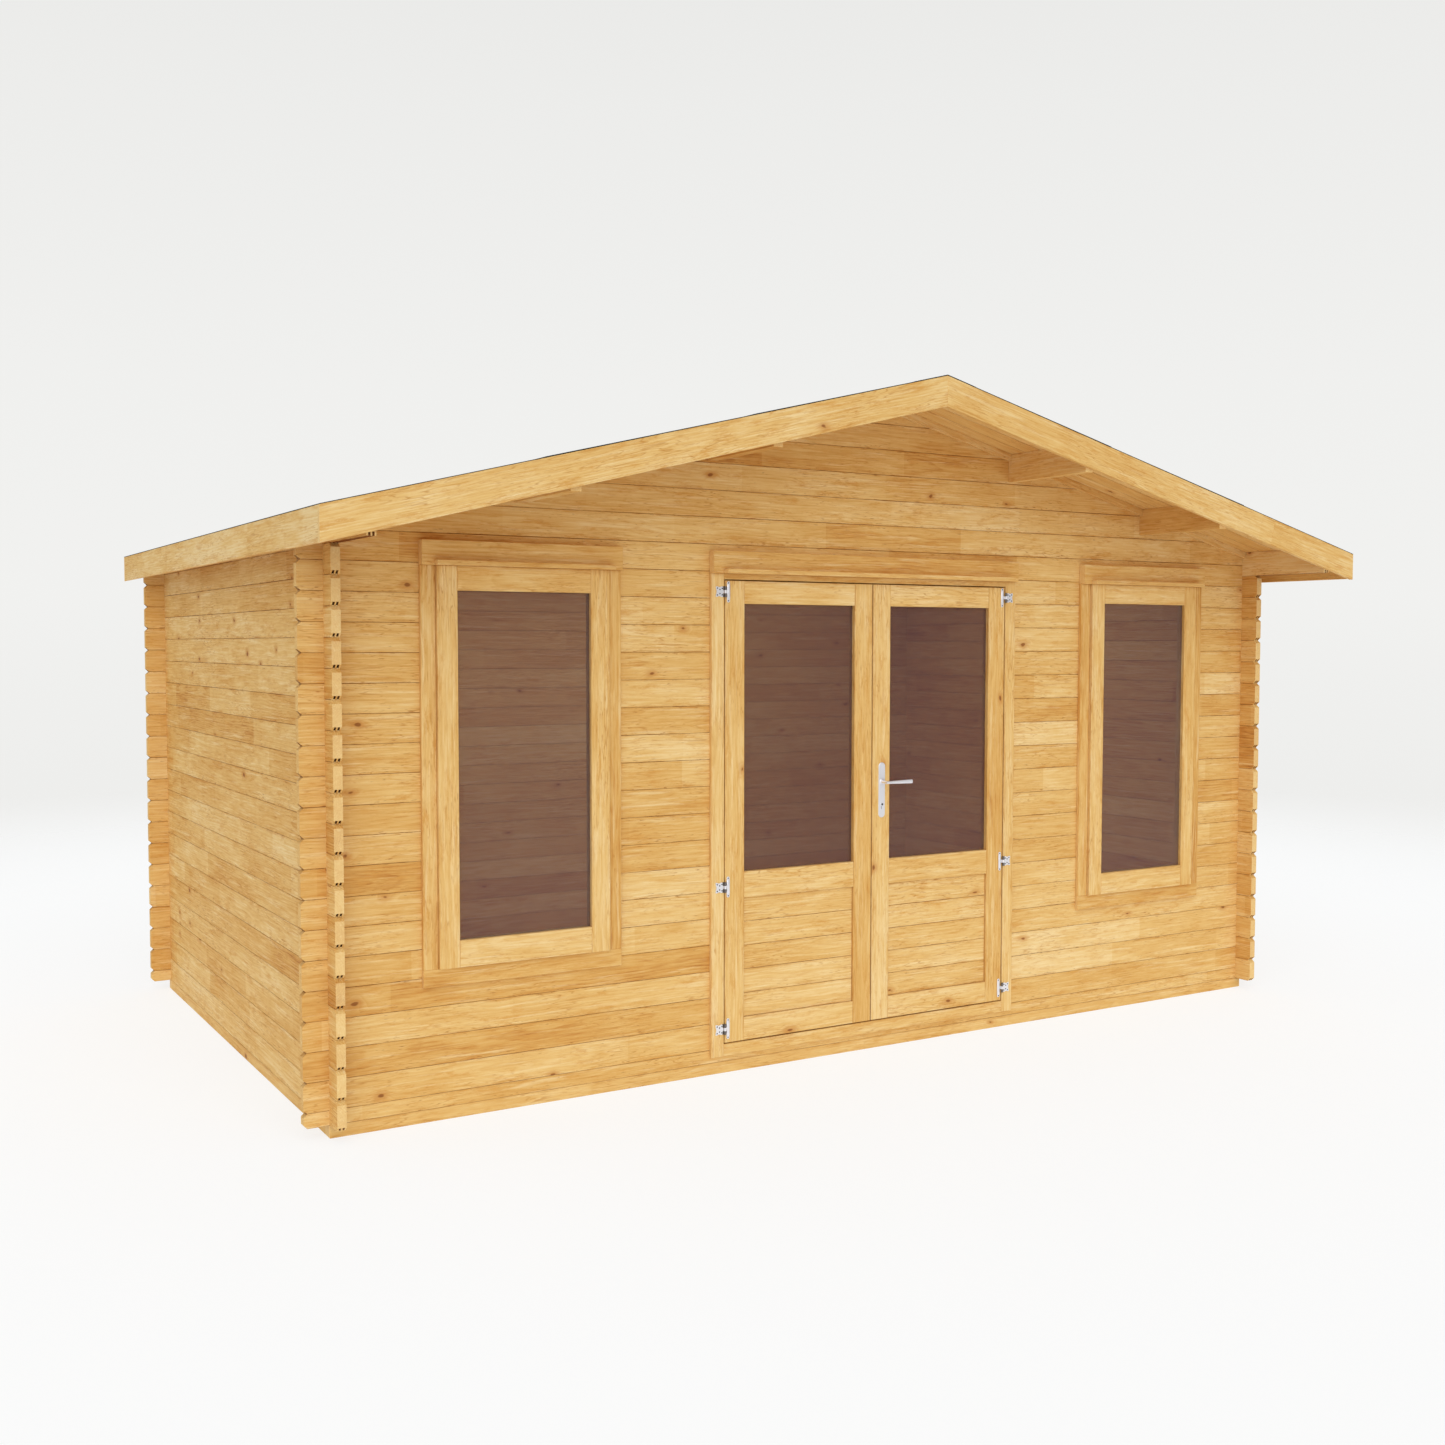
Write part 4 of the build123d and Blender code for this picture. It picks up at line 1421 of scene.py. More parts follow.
@dataclass
class Roof:
    """Boards up the slopes, bargeboards, fascias, gable strips and felt."""

    finishes: Finishes
    boards: int = 36
    board_edge: float = 0.0018
    barge_width: float = 0.120
    barge_joint: float = 2.02
    barge_edge: float = 0.0012
    strip_depth: float = 0.030
    strip_thickness: float = 0.020
    strip_edge: float = 0.001
    felt: float = 0.0024
    felt_edge: float = 0.0008
    felt_tilt: float = 0.8
    cap: float = 0.0015
    cap_edge: float = 0.0005
    cap_inset: float = 0.0006
    cap_lift: float = 1.02
    nail_lift: float = 1.8
    nail_spacing: float = 0.100
    nail_setback: float = 0.020
    nail_margins: tuple[float, float] = (0.05, 0.04)
    nail_head: Profile = ((-0.0012, 0.0045), (0.0004, 0.0050), (0.0009, 0.0042), (0.0010, 0.0001))

    def direction(self, side: Side) -> tuple[Array, Array]:
        """The way down a slope from the ridge, and the way up out of it."""
        cos, sin = math.cos(PLAN.pitch), math.sin(PLAN.pitch)
        return np.array([side.value * cos, 0, -sin]), np.array([side.value * sin, 0, cos])

    def boarding(self, side: Side) -> None:
        """Lays the roof boards from ridge to eaves, jointed side by side, with plumb ends.

        Args:
            side: Which side it is on.
        """
        pile = Pile(f"roof_boarding_{side.word}", 81 + side.value)
        down, _ = self.direction(side)
        reach = (PLAN.half_span - PLAN.barge) / math.cos(PLAN.pitch)
        front, rear = PLAN.roof_front + PLAN.barge, PLAN.roof_rear - PLAN.barge
        width = (rear - front) / self.boards
        rake = np.array([[0.0, -PLAN.slope], [0.0, -PLAN.slope]])
        across = np.array([0.0, side.value, 0.0])
        for number in range(self.boards):
            place = front + width * (number if side is Side.RIGHT else number + 1)
            timber = board(rectangle(width, PLAN.roof_board), 0.0, reach, self.board_edge, rake)
            pile.add(timber, (0, place, PLAN.ridge), down, across, 1.0)
        pile.finish(Body.CABIN, Slot.ROOF, self.finishes.roof, [f"roof_boards_{side.word}"])

    def edge_boards(self) -> None:
        """Builds the bargeboards, which meet plumb at the ridge, and the fascias along the eaves."""
        rake = np.array([[-PLAN.slope, 0.0], [-PLAN.slope, 0.0]])
        drop = self.barge_width / math.cos(PLAN.pitch)
        foot = PLAN.ridge + PLAN.board_rise - drop
        reach = PLAN.half_span / math.cos(PLAN.pitch)
        for word, low in (("front", PLAN.roof_front), ("rear", PLAN.roof_rear - PLAN.barge)):
            pile = Pile(f"barge_pair_{word}", 91 if word == "front" else 92)
            for side in Side:
                down, up = self.direction(side)
                y = low + PLAN.barge if side is Side.RIGHT else low
                parts = [0.0, self.barge_joint, reach] if side is Side.RIGHT else [0.0, reach]
                for start, end in zip(parts[:-1], parts[1:]):
                    cuts = rake * [[start == 0.0], [end == reach]]
                    timber = board(rectangle(self.barge_width, PLAN.barge), start, end, self.barge_edge, cuts)
                    pile.add(timber, (0, y, foot), down, up)
            nodes = [f"bargeboard_{word}_{side.word}" for side in Side]
            pile.finish(Body.CABIN, Slot.TRIM, self.finishes.barge, nodes)
        top = PLAN.underside(PLAN.half_span) + PLAN.board_rise
        inner_top = PLAN.underside(PLAN.half_span - PLAN.barge) + PLAN.board_rise
        for side in Side:
            pile = Pile(f"fascia_board_{side.word}", 95 + side.value)
            base = top - self.barge_width
            heads = [top - base, inner_top - base]
            near, far = heads if side is Side.LEFT else heads[::-1]
            outline = np.array([(0, 0), (near, 0), (far, PLAN.barge), (0, PLAN.barge)])
            x = -PLAN.half_span if side is Side.LEFT else PLAN.half_span - PLAN.barge
            timber = board(outline, 0.0, PLAN.long_board, PLANED)
            pile.add(timber, (x, PLAN.roof_front + PLAN.barge, base), BACKWARD, UPWARD)
            pile.finish(Body.CABIN, Slot.TRIM, self.finishes.barge, [f"fascia_{side.word}"])

    def gable_strips(self) -> None:
        """Builds the strips between the gable logs and the roof boards, cut through at the purlins."""
        pile = Pile("gable_strip_run", 98)
        cos = math.cos(PLAN.pitch)
        depth = self.strip_depth * cos
        rake = np.array([[-PLAN.slope, 0.0], [-PLAN.slope, 0.0]])
        half = PLAN.purlin_width / 2
        edges = [place + part for place in PLAN.purlins for part in (-half, half)]
        marks = [0.0, *edges, PLAN.half_width - PLAN.thickness]
        outline = rectangle(depth, self.strip_thickness)
        for side in Side:
            down, up = self.direction(side)
            for start, end in zip(marks[::2], marks[1::2]):
                timber = board(outline, start / cos, end / cos, self.strip_edge, rake)
                y = PLAN.front if side is Side.RIGHT else PLAN.front - self.strip_thickness
                pile.add(timber, (0, y, PLAN.ridge - self.strip_depth), down, up)
        pile.finish(Body.CABIN, Slot.TRIM, self.finishes.barge, ["gable_trims"])

    def felt_sheet(self, number: int) -> Solid:
        """One course of felt, lifted towards its lower edge over the course below.

        Args:
            number: Its number from the ridge.

        Returns:
            The sheet, its grain down the slope.
        """
        edges = np.linspace(0.0, PLAN.half_span / math.cos(PLAN.pitch), PLAN.felt_courses + 1)
        start, end = edges[number], edges[number + 1]
        last = number == PLAN.felt_courses - 1
        outline = rectangle(PLAN.roof_rear - PLAN.roof_front, self.felt)
        rake = np.array([[0.0, 0.0 if number else -PLAN.slope], [0.0, 0.0]])
        sheet = board(outline, start, end if last else end + PLAN.felt_lap, self.felt_edge, rake)
        if not last:
            sheet.points[:, 2] += (sheet.points[:, 0] - start) * self.felt * self.felt_tilt / (end - start)
        return sheet

    def ridge_strip(self) -> Solid:
        """One slope's half of the strip over the ridge, which lies on the top sheet.

        Returns:
            The strip, its grain down the slope.
        """
        outline = rectangle(PLAN.roof_rear - PLAN.roof_front - 2 * self.cap_inset, self.cap)
        strip = board(outline, 0.0, PLAN.felt_cap, self.cap_edge, np.array([[0.0, -PLAN.slope], [0.0, 0.0]]))
        strip.points += (0.0, self.cap_inset, self.felt * self.cap_lift)
        return strip

    def felt_cover(self) -> None:
        """Lays the felt in courses parallel to the eaves, each lapped over the one below, with a ridge strip."""
        felt, nails = Pile("felt_cover", 99), Pile("felt_nails", 100)
        ridge = np.array([0.0, 0.0, PLAN.ridge + PLAN.board_rise])
        near, far = self.nail_margins
        row = np.arange(PLAN.roof_front + near, PLAN.roof_rear - far, self.nail_spacing)
        lifts = [self.felt * self.cap_lift + self.cap] + [self.felt * self.nail_lift] * (PLAN.felt_courses - 1)
        head = lathe(self.nail_head, around=10)
        for side in Side:
            down, up = self.direction(side)
            across = np.array([0.0, side.value, 0.0])
            corner = (0.0, PLAN.roof_front if side is Side.RIGHT else PLAN.roof_rear, ridge[2])
            for number in range(PLAN.felt_courses):
                felt.add(self.felt_sheet(number), corner, down, across)
            felt.add(self.ridge_strip(), corner, down, across)
            for place, lift in zip(PLAN.felt_laps, lifts):
                foot = ridge + down * (place - self.nail_setback) + up * lift
                for at in row:
                    nails.add(head, (foot[0], at, foot[2]), up, BACKWARD)
        felt.finish(Body.CABIN, Slot.FELT, self.finishes.felt, ["roof_felt"])
        nails.finish(Body.CABIN, Slot.STEEL, self.finishes.nail, smooth=True)

    def build(self) -> None:
        """Builds every part of the roof."""
        for side in Side:
            self.boarding(side)
        self.edge_boards()
        self.gable_strips()
        self.felt_cover()


# ---- Joinery


def head_and_ledge(pile: Pile, low: float, high: float) -> None:
    """Puts a head board and the drip ledge under it over an opening.

    Args:
        pile: The piece that they go to.
        low: The head board's left end.
        high: Its right end.
    """
    front, foot = PLAN.front, PLAN.ledge_foot
    shelf = foot + PLAN.ledge_thickness
    pile.bar((low, front - PLAN.head_thickness, foot), (high, front, PLAN.head_top), Grain.X)
    inset = PLAN.ledge_inset
    pile.bar(
        (low + inset, front - PLAN.ledge_projection, foot),
        (high - inset, front - PLAN.head_thickness, shelf),
        Grain.X,
    )


def ring_of_boards(
    pile: Pile,
    low: tuple[float, float],
    high: tuple[float, float],
    widths: tuple[float, float, float],
    depth: tuple[float, float],
    edge: float = PLANED,
    rails_between: bool = True,
) -> None:
    """Frames a rectangle in the wall's plane with two stiles and two rails.

    Args:
        pile: The piece that they go to.
        low: Lowest x and z of the outside.
        high: Highest x and z of the outside.
        widths: Stile, bottom rail and top rail.
        depth: Front and back y.
        edge: Width of the planed edges.
        rails_between: Whether the rails stand between the stiles, else they run over them.
    """
    stile, bottom, top = widths
    (x0, z0), (x1, z1), (y0, y1) = low, high, depth
    inset = stile if rails_between else 0.0
    below, above = (0.0, 0.0) if rails_between else (bottom, top)
    pile.bar((x0, y0, z0 + below), (x0 + stile, y1, z1 - above), Grain.Z, edge, BUTTED)
    pile.bar((x1 - stile, y0, z0 + below), (x1, y1, z1 - above), Grain.Z, edge, BUTTED)
    if bottom:
        pile.bar((x0 + inset, y0, z0), (x1 - inset, y1, z0 + bottom), Grain.X, edge, BUTTED)
    if top:
        pile.bar((x0 + inset, y0, z1 - top), (x1 - inset, y1, z1), Grain.X, edge, BUTTED)


@dataclass
class Window:
    """A tall fixed window: lined opening, trims, head board, ledge, sill board and sash."""

    finishes: Finishes
    side: Side
    trim: float = 0.057
    sill_board: float = 0.067
    liner_past: float = 0.018
    stile: float = 0.081
    top_rail: float = 0.092
    bottom_rail: float = 0.102
    proud: float = 0.034
    sash: float = 0.048
    sash_edge: float = 0.002

    def build(self) -> None:
        """Builds the frame and the sash."""
        front = PLAN.front
        outer = PLAN.window_outer
        x = sorted((self.side.value * outer, self.side.value * (outer - PLAN.window_width)))
        sill_top = PLAN.sill_joint + self.sill_board / 2
        sill_foot = sill_top - self.sill_board
        pile = Pile(f"window_surround_{self.side.word}", 101 + self.side.value)
        face = front - PLAN.trim
        pile.bar((x[0], face, sill_top), (x[0] + self.trim, front, PLAN.ledge_foot), Grain.Z)
        pile.bar((x[1] - self.trim, face, sill_top), (x[1], front, PLAN.ledge_foot), Grain.Z)
        pile.bar((x[0], face, sill_foot), (x[1], front, sill_top), Grain.X)
        head_and_ledge(pile, x[0], x[1])
        lap = PLAN.trim_lap
        back = front + PLAN.thickness + self.liner_past
        ring_of_boards(
            pile,
            (x[0] + lap, PLAN.sill_joint),
            (x[1] - lap, PLAN.head_joint),
            (self.trim - lap, sill_top - PLAN.sill_joint, PLAN.head_joint - PLAN.ledge_foot),
            (front, back),
            rails_between=False,
        )
        pile.finish(Body.CABIN, Slot.TRIM, self.finishes.surround, [f"window_frame_{self.side.word}"])

        pile = Pile(f"window_casement_{self.side.word}", 106 + self.side.value)
        low, high = (x[0] + self.trim, sill_top), (x[1] - self.trim, PLAN.ledge_foot)
        y = (front - self.proud, front - self.proud + self.sash)
        ring_of_boards(pile, low, high, (self.stile, self.bottom_rail, self.top_rail), y, self.sash_edge)
        pile.finish(Body.CABIN, Slot.TRIM, self.finishes.sash, [f"window_sash_{self.side.word}"])


@dataclass
class DoorSurround:
    """What the door hangs in: lined jambs with stops, trims, head board, ledge and threshold."""

    finishes: Finishes
    threshold_top: float = 0.125
    threshold_edge: float = 0.002
    ear_edge: float = 0.001
    head_liner: float = 0.032
    stop_front: float = -1.204
    stop_back: float = -1.186
    stop_depth: float = 0.015

    def build(self) -> None:
        """Builds the lining, the trims and the threshold."""
        front, half = PLAN.front, PLAN.door_half
        clear = half - PLAN.door_trim
        opening = half - PLAN.trim_lap
        foot, top = PLAN.threshold_foot, self.threshold_top
        head = PLAN.head_joint - self.head_liner
        pile = Pile("door_lining", 111)
        for sign in (-1, 1):
            pile.bar((sign * clear, front, top), (sign * opening, PLAN.frame_back, head), Grain.Z)
            low = (sign * (clear - self.stop_depth), self.stop_front, top)
            pile.bar(low, (sign * clear, self.stop_back, head), Grain.Z)
        pile.bar((-opening, front, head), (opening, PLAN.frame_back, PLAN.head_joint), Grain.X)
        inner = clear - self.stop_depth
        pile.bar((-inner, self.stop_front, head - self.stop_depth), (inner, self.stop_back, head), Grain.X)
        pile.finish(Body.CABIN, Slot.TRIM, self.finishes.surround, ["door_frame"])

        pile = Pile("door_surround", 112)
        face = front - PLAN.trim
        for sign in (-1, 1):
            pile.bar((sign * clear, face, foot), (sign * half, front, PLAN.ledge_foot), Grain.Z)
        pile.bar((-clear, face, head), (clear, front, PLAN.ledge_foot), Grain.X)
        pile.finish(Body.CABIN, Slot.TRIM, self.finishes.sash, ["door_trims"])

        pile = Pile("door_head_board", 113)
        head_and_ledge(pile, -half, half)
        pile.finish(Body.CABIN, Slot.TRIM, self.finishes.surround, ["door_head"])

        pile = Pile("threshold_plank", 114)
        pile.bar((-clear, face, foot), (clear, PLAN.frame_back, top), Grain.X, self.threshold_edge)
        for sign in (-1, 1):
            high = (sign * opening, front + PLAN.thickness, top)
            pile.bar((sign * clear, front, foot), high, Grain.X, self.ear_edge)
        pile.finish(Body.CABIN, Slot.TRIM, self.finishes.sash, ["door_threshold"])


@dataclass
class DoorLeaf:
    """One leaf: stiles and rails, a boarded panel below and an opening for the pane above."""

    finishes: Finishes
    side: Side
    gap: float = 0.005
    thickness: float = 0.040
    stile: float = 0.094
    foot: float = 0.130
    top: float = 2.046
    bottom_rail: float = 0.097
    panel: float = 0.503
    mid_rail: float = 0.110
    top_rail: float = 0.094
    panel_setback: float = 0.010
    panel_thickness: float = 0.020
    panel_boards: int = 5
    panel_edge: float = 0.0018
    panel_joint: float = 0.8

    def build(self) -> None:
        """Builds the framing and the panel."""
        clear = PLAN.door_half - PLAN.door_trim
        x = sorted((self.side.value * self.gap / 2, self.side.value * (clear - self.gap)))
        y = (PLAN.door_face, PLAN.door_face + self.thickness)
        light = self.foot + self.bottom_rail + self.panel + self.mid_rail
        pile = Pile(f"leaf_framing_{self.side.word}", 121 + self.side.value)
        rails = (self.stile, self.bottom_rail, self.top_rail)
        ring_of_boards(pile, (x[0], self.foot), (x[1], self.top), rails, y)
        inner = (x[0] + self.stile, x[1] - self.stile)
        pile.bar((inner[0], y[0], light - self.mid_rail), (inner[1], y[1], light), Grain.X, joint=BUTTED)
        pile.finish(self.side.door, Slot.TRIM, self.finishes.sash, [f"door_leaf_{self.side.word}"])

        pile = Pile(f"leaf_boards_{self.side.word}", 126 + self.side.value)
        base = self.foot + self.bottom_rail
        edges = np.linspace(base, base + self.panel, self.panel_boards + 1)
        face = PLAN.door_face + self.panel_setback
        for low, high in zip(edges[:-1], edges[1:]):
            top = (inner[1], face + self.panel_thickness, high)
            pile.bar((inner[0], face, low), top, Grain.X, self.panel_edge, self.panel_joint)
        pile.finish(self.side.door, Slot.TRIM, self.finishes.sash, [f"door_panel_{self.side.word}"])


# ---- Glass


@dataclass
class Panes:
    """The tinted panes, each a thin sheet with ground edges."""

    finishes: Finishes
    window_back: float = -1.2475
    door_back: float = -1.2265
    thickness: float = 0.004
    edge: float = 0.0004

    def build(self) -> None:
        """Builds the four panes over the construction model's own."""
        for side in Side:
            for kind, body, back in (("window", Body.CABIN, self.window_back), ("door", side.door, self.door_back)):
                node = f"{kind}_glass_{side.word}"
                low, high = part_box(node)
                pile = Pile(f"{kind}_pane_{side.word}", 161)
                pile.bar((low[0], back - self.thickness, low[2]), (high[0], back, high[2]), Grain.X, self.edge)
                finish = self.finishes.glass if body is Body.CABIN else self.finishes.door_glass
                pile.finish(body, Slot.GLASS, finish, [node])


# ---- Fittings


def plate_outline(width: float, height: float, steps: int = 8) -> Array:
    """An upright plate's outline with round ends, anticlockwise, as across and up.

    Args:
        width: Width, twice the ends' radius.
        height: Height over all.
        steps: Sides of each round end.

    Returns:
        The outline about its middle.
    """
    radius = width / 2
    angle = np.linspace(0.0, math.pi, steps + 1)
    half = np.column_stack([np.cos(angle) * radius, np.sin(angle) * radius + height / 2 - radius])
    return np.concatenate([half, -half])


def pressed_plate(outline: Array, thickness: float, edge: float = 0.0006) -> Solid:
    """A flat plate lying in its outline's plane, its front edge rounded over.

    The rings go from the back outwards: full outline, full outline, and the outline drawn in towards its middle.

    Args:
        outline: Outline about its middle.
        thickness: Its thickness.
        edge: Width of the worn edge.

    Returns:
        The solid, thickness along the grain axis.
    """
    size = np.abs(outline).max(axis=0)
    drawn = outline * (1.0 - edge / size)
    rings = [(0.0, outline), (thickness - edge, outline), (thickness, drawn)]
    stack = np.array([np.column_stack([np.full(len(ring), place), ring]) for place, ring in rings])
    return skin(stack)


def screw_heads(pile: Pile, places: Iterable[tuple[float, float]], face: float, radius: float) -> None:
    """Puts countersunk screw heads on an upright face, each a low dome in a ring.

    Args:
        pile: The piece that they go to.
        places: Their x and z.
        face: The face's y.
        radius: Their radius.
    """
    head = lathe(((-0.001, radius), (0.0002, radius), (0.0005, radius * 0.6), (0.0006, 0.0001)), around=14)
    for x, z in places:
        pile.add(head, (x, face, z), OUTWARD, SIDEWAYS)


@dataclass
class Hinges:
    """Three hinges of one leaf: waisted leaves on the trim, knuckles, and long plates on the door."""

    finishes: Finishes
    side: Side
    heights: tuple[float, ...] = (0.189, 0.782, 2.000)
    pin_x: float = 0.7535
    pin_y: float = -1.2564
    radius: float = 0.005
    worn: float = 0.0006
    barrel: float = 0.044
    play: float = 0.0003
    tongue: float = 0.010
    tongue_edge: float = 0.0003
    plate: float = 0.0025
    leaf_screw: float = 0.0029
    strap: tuple[float, float] = (0.014, 0.087)
    strap_inward: float = 0.0175
    strap_hole: float = 0.0365
    strap_screw: float = 0.0027
    hood: tuple[float, float, float] = (0.0165, 0.058, 0.0045)
    wing: Profile = (
        (0.0056, 0.0055),
        (0.0095, 0.0065),
        (0.0105, 0.0195),
        (0.0130, 0.0220),
        (0.0190, 0.0215),
        (0.0240, 0.0190),
        (0.0300, 0.0185),
        (0.0350, 0.0210),
        (0.0410, 0.0220),
        (0.0440, 0.0200),
        (0.0430, 0.0110),
        (0.0405, 0.0040),
    )
    holes: Profile = ((0.0365, 0.0140), (0.0250, 0.0085), (0.0140, 0.0130))

    def knuckle(self, low: float, high: float) -> Solid:
        """One knuckle of the barrel between two heights, with a worn rim."""
        r, e = self.radius, self.worn
        return lathe(((low, r - e), (low + e, r), (high - e, r), (high, r - e)), around=20)

    def tongue_bar(self, pile: Pile, low: float, high: float, end: float, back: float) -> None:
        """Joins a knuckle to its plate.

        Args:
            pile: The piece that it goes to.
            low: Its foot.
            high: Its top.
            end: How far from the cabin's middle it ends.
            back: The y of its back.
        """
        s, front = self.side.value, PLAN.front - PLAN.trim - self.plate
        pile.bar((s * self.pin_x, front, low), (s * end, back, high), Grain.Z, self.tongue_edge)

    def waisted_leaf(self) -> tuple[Solid, float]:
        """Builds the waisted leaf on the trim.

        Returns:
            The solid, and how far beyond the pin its middle is.
        """
        half = np.array(self.wing)
        middle = (half[0, 0] + half[-1, 0]) / 2
        loop = np.concatenate([half, half[::-1] * (1.0, -1.0)]) - (middle, 0.0)
        loop *= (self.side.value, 1.0)
        return pressed_plate(loop if self.side is Side.LEFT else loop[::-1], self.plate), middle

    def raised_body(self) -> Solid:
        """The raised body of a door plate, a low arch in section.

        Returns:
            The solid, its grain along the pin.
        """
        width, length, rise = self.hood
        arc = np.linspace(0.0, math.pi, 9)
        outline = np.column_stack([np.cos(arc) * width / 2, np.sin(arc) * rise])
        return board(outline, -length / 2, length / 2, self.worn)

    def build(self) -> None:
        """Builds the part on the trim and the part on the door."""
        s, word = self.side.value, self.side.word
        fixed = Pile(f"hinge_leaves_{word}", 131 + s)
        barrels = Pile(f"hinge_barrels_{word}", 134 + s)
        moving = Pile(f"hinge_straps_{word}", 136 + s)
        fixed_screws = Pile(f"hinge_screws_{word}", 141 + s)
        moving_screws = Pile(f"strap_screws_{word}", 146 + s)
        third = self.barrel / 3
        trim_face, door_face = PLAN.front - PLAN.trim, PLAN.door_face
        leaf, middle = self.waisted_leaf()
        strap = pressed_plate(plate_outline(*self.strap), self.plate)
        centre = s * (self.pin_x - self.strap_inward)
        for z in self.heights:
            pin = (s * self.pin_x, self.pin_y, z)
            for low in (-1.5 * third, 0.5 * third):
                barrels.add(self.knuckle(low, low + third), pin, UPWARD, SIDEWAYS)
                self.tongue_bar(barrels, z + low, z + low + third, self.pin_x + self.tongue, trim_face)
            half = 0.5 * third - self.play
            moving.add(self.knuckle(-half, half), pin, UPWARD, SIDEWAYS)
            self.tongue_bar(moving, z - half, z + half, self.pin_x - self.tongue, door_face)
            fixed.add(leaf, (s * (self.pin_x + middle), trim_face, z), OUTWARD, SIDEWAYS)
            holes = [(s * (self.pin_x + a), z + b) for a, c in self.holes for b in (-c, c)]
            screw_heads(fixed_screws, holes, trim_face - self.plate, self.leaf_screw)
            moving.add(strap, (centre, door_face, z), OUTWARD, SIDEWAYS)
            moving.add(self.raised_body(), (centre, door_face - self.plate * 0.5, z), UPWARD, LEFTWARD)
            ends = [(centre, z + b) for b in (-self.strap_hole, self.strap_hole)]
            screw_heads(moving_screws, ends, door_face - self.plate, self.strap_screw)
        fixed.finish(Body.CABIN, Slot.STEEL, self.finishes.steel, ["hinges_frame"], smooth=True)
        # the fixed knuckles take the nearly black steel, painted shade
        barrels.finish(Body.CABIN, Slot.STEEL, self.finishes.worn, smooth=True)
        # the hinge screw heads are nearly black, painted shade of the holes they sit in
        fixed_screws.finish(Body.CABIN, Slot.STEEL, self.finishes.dark, smooth=True)
        moving.finish(self.side.door, Slot.STEEL, self.finishes.steel, [f"hinge_plates_{word}"], smooth=True)
        # the strap screw heads are nearly black, painted shade of the holes they sit in
        moving_screws.finish(self.side.door, Slot.STEEL, self.finishes.dark, smooth=True)


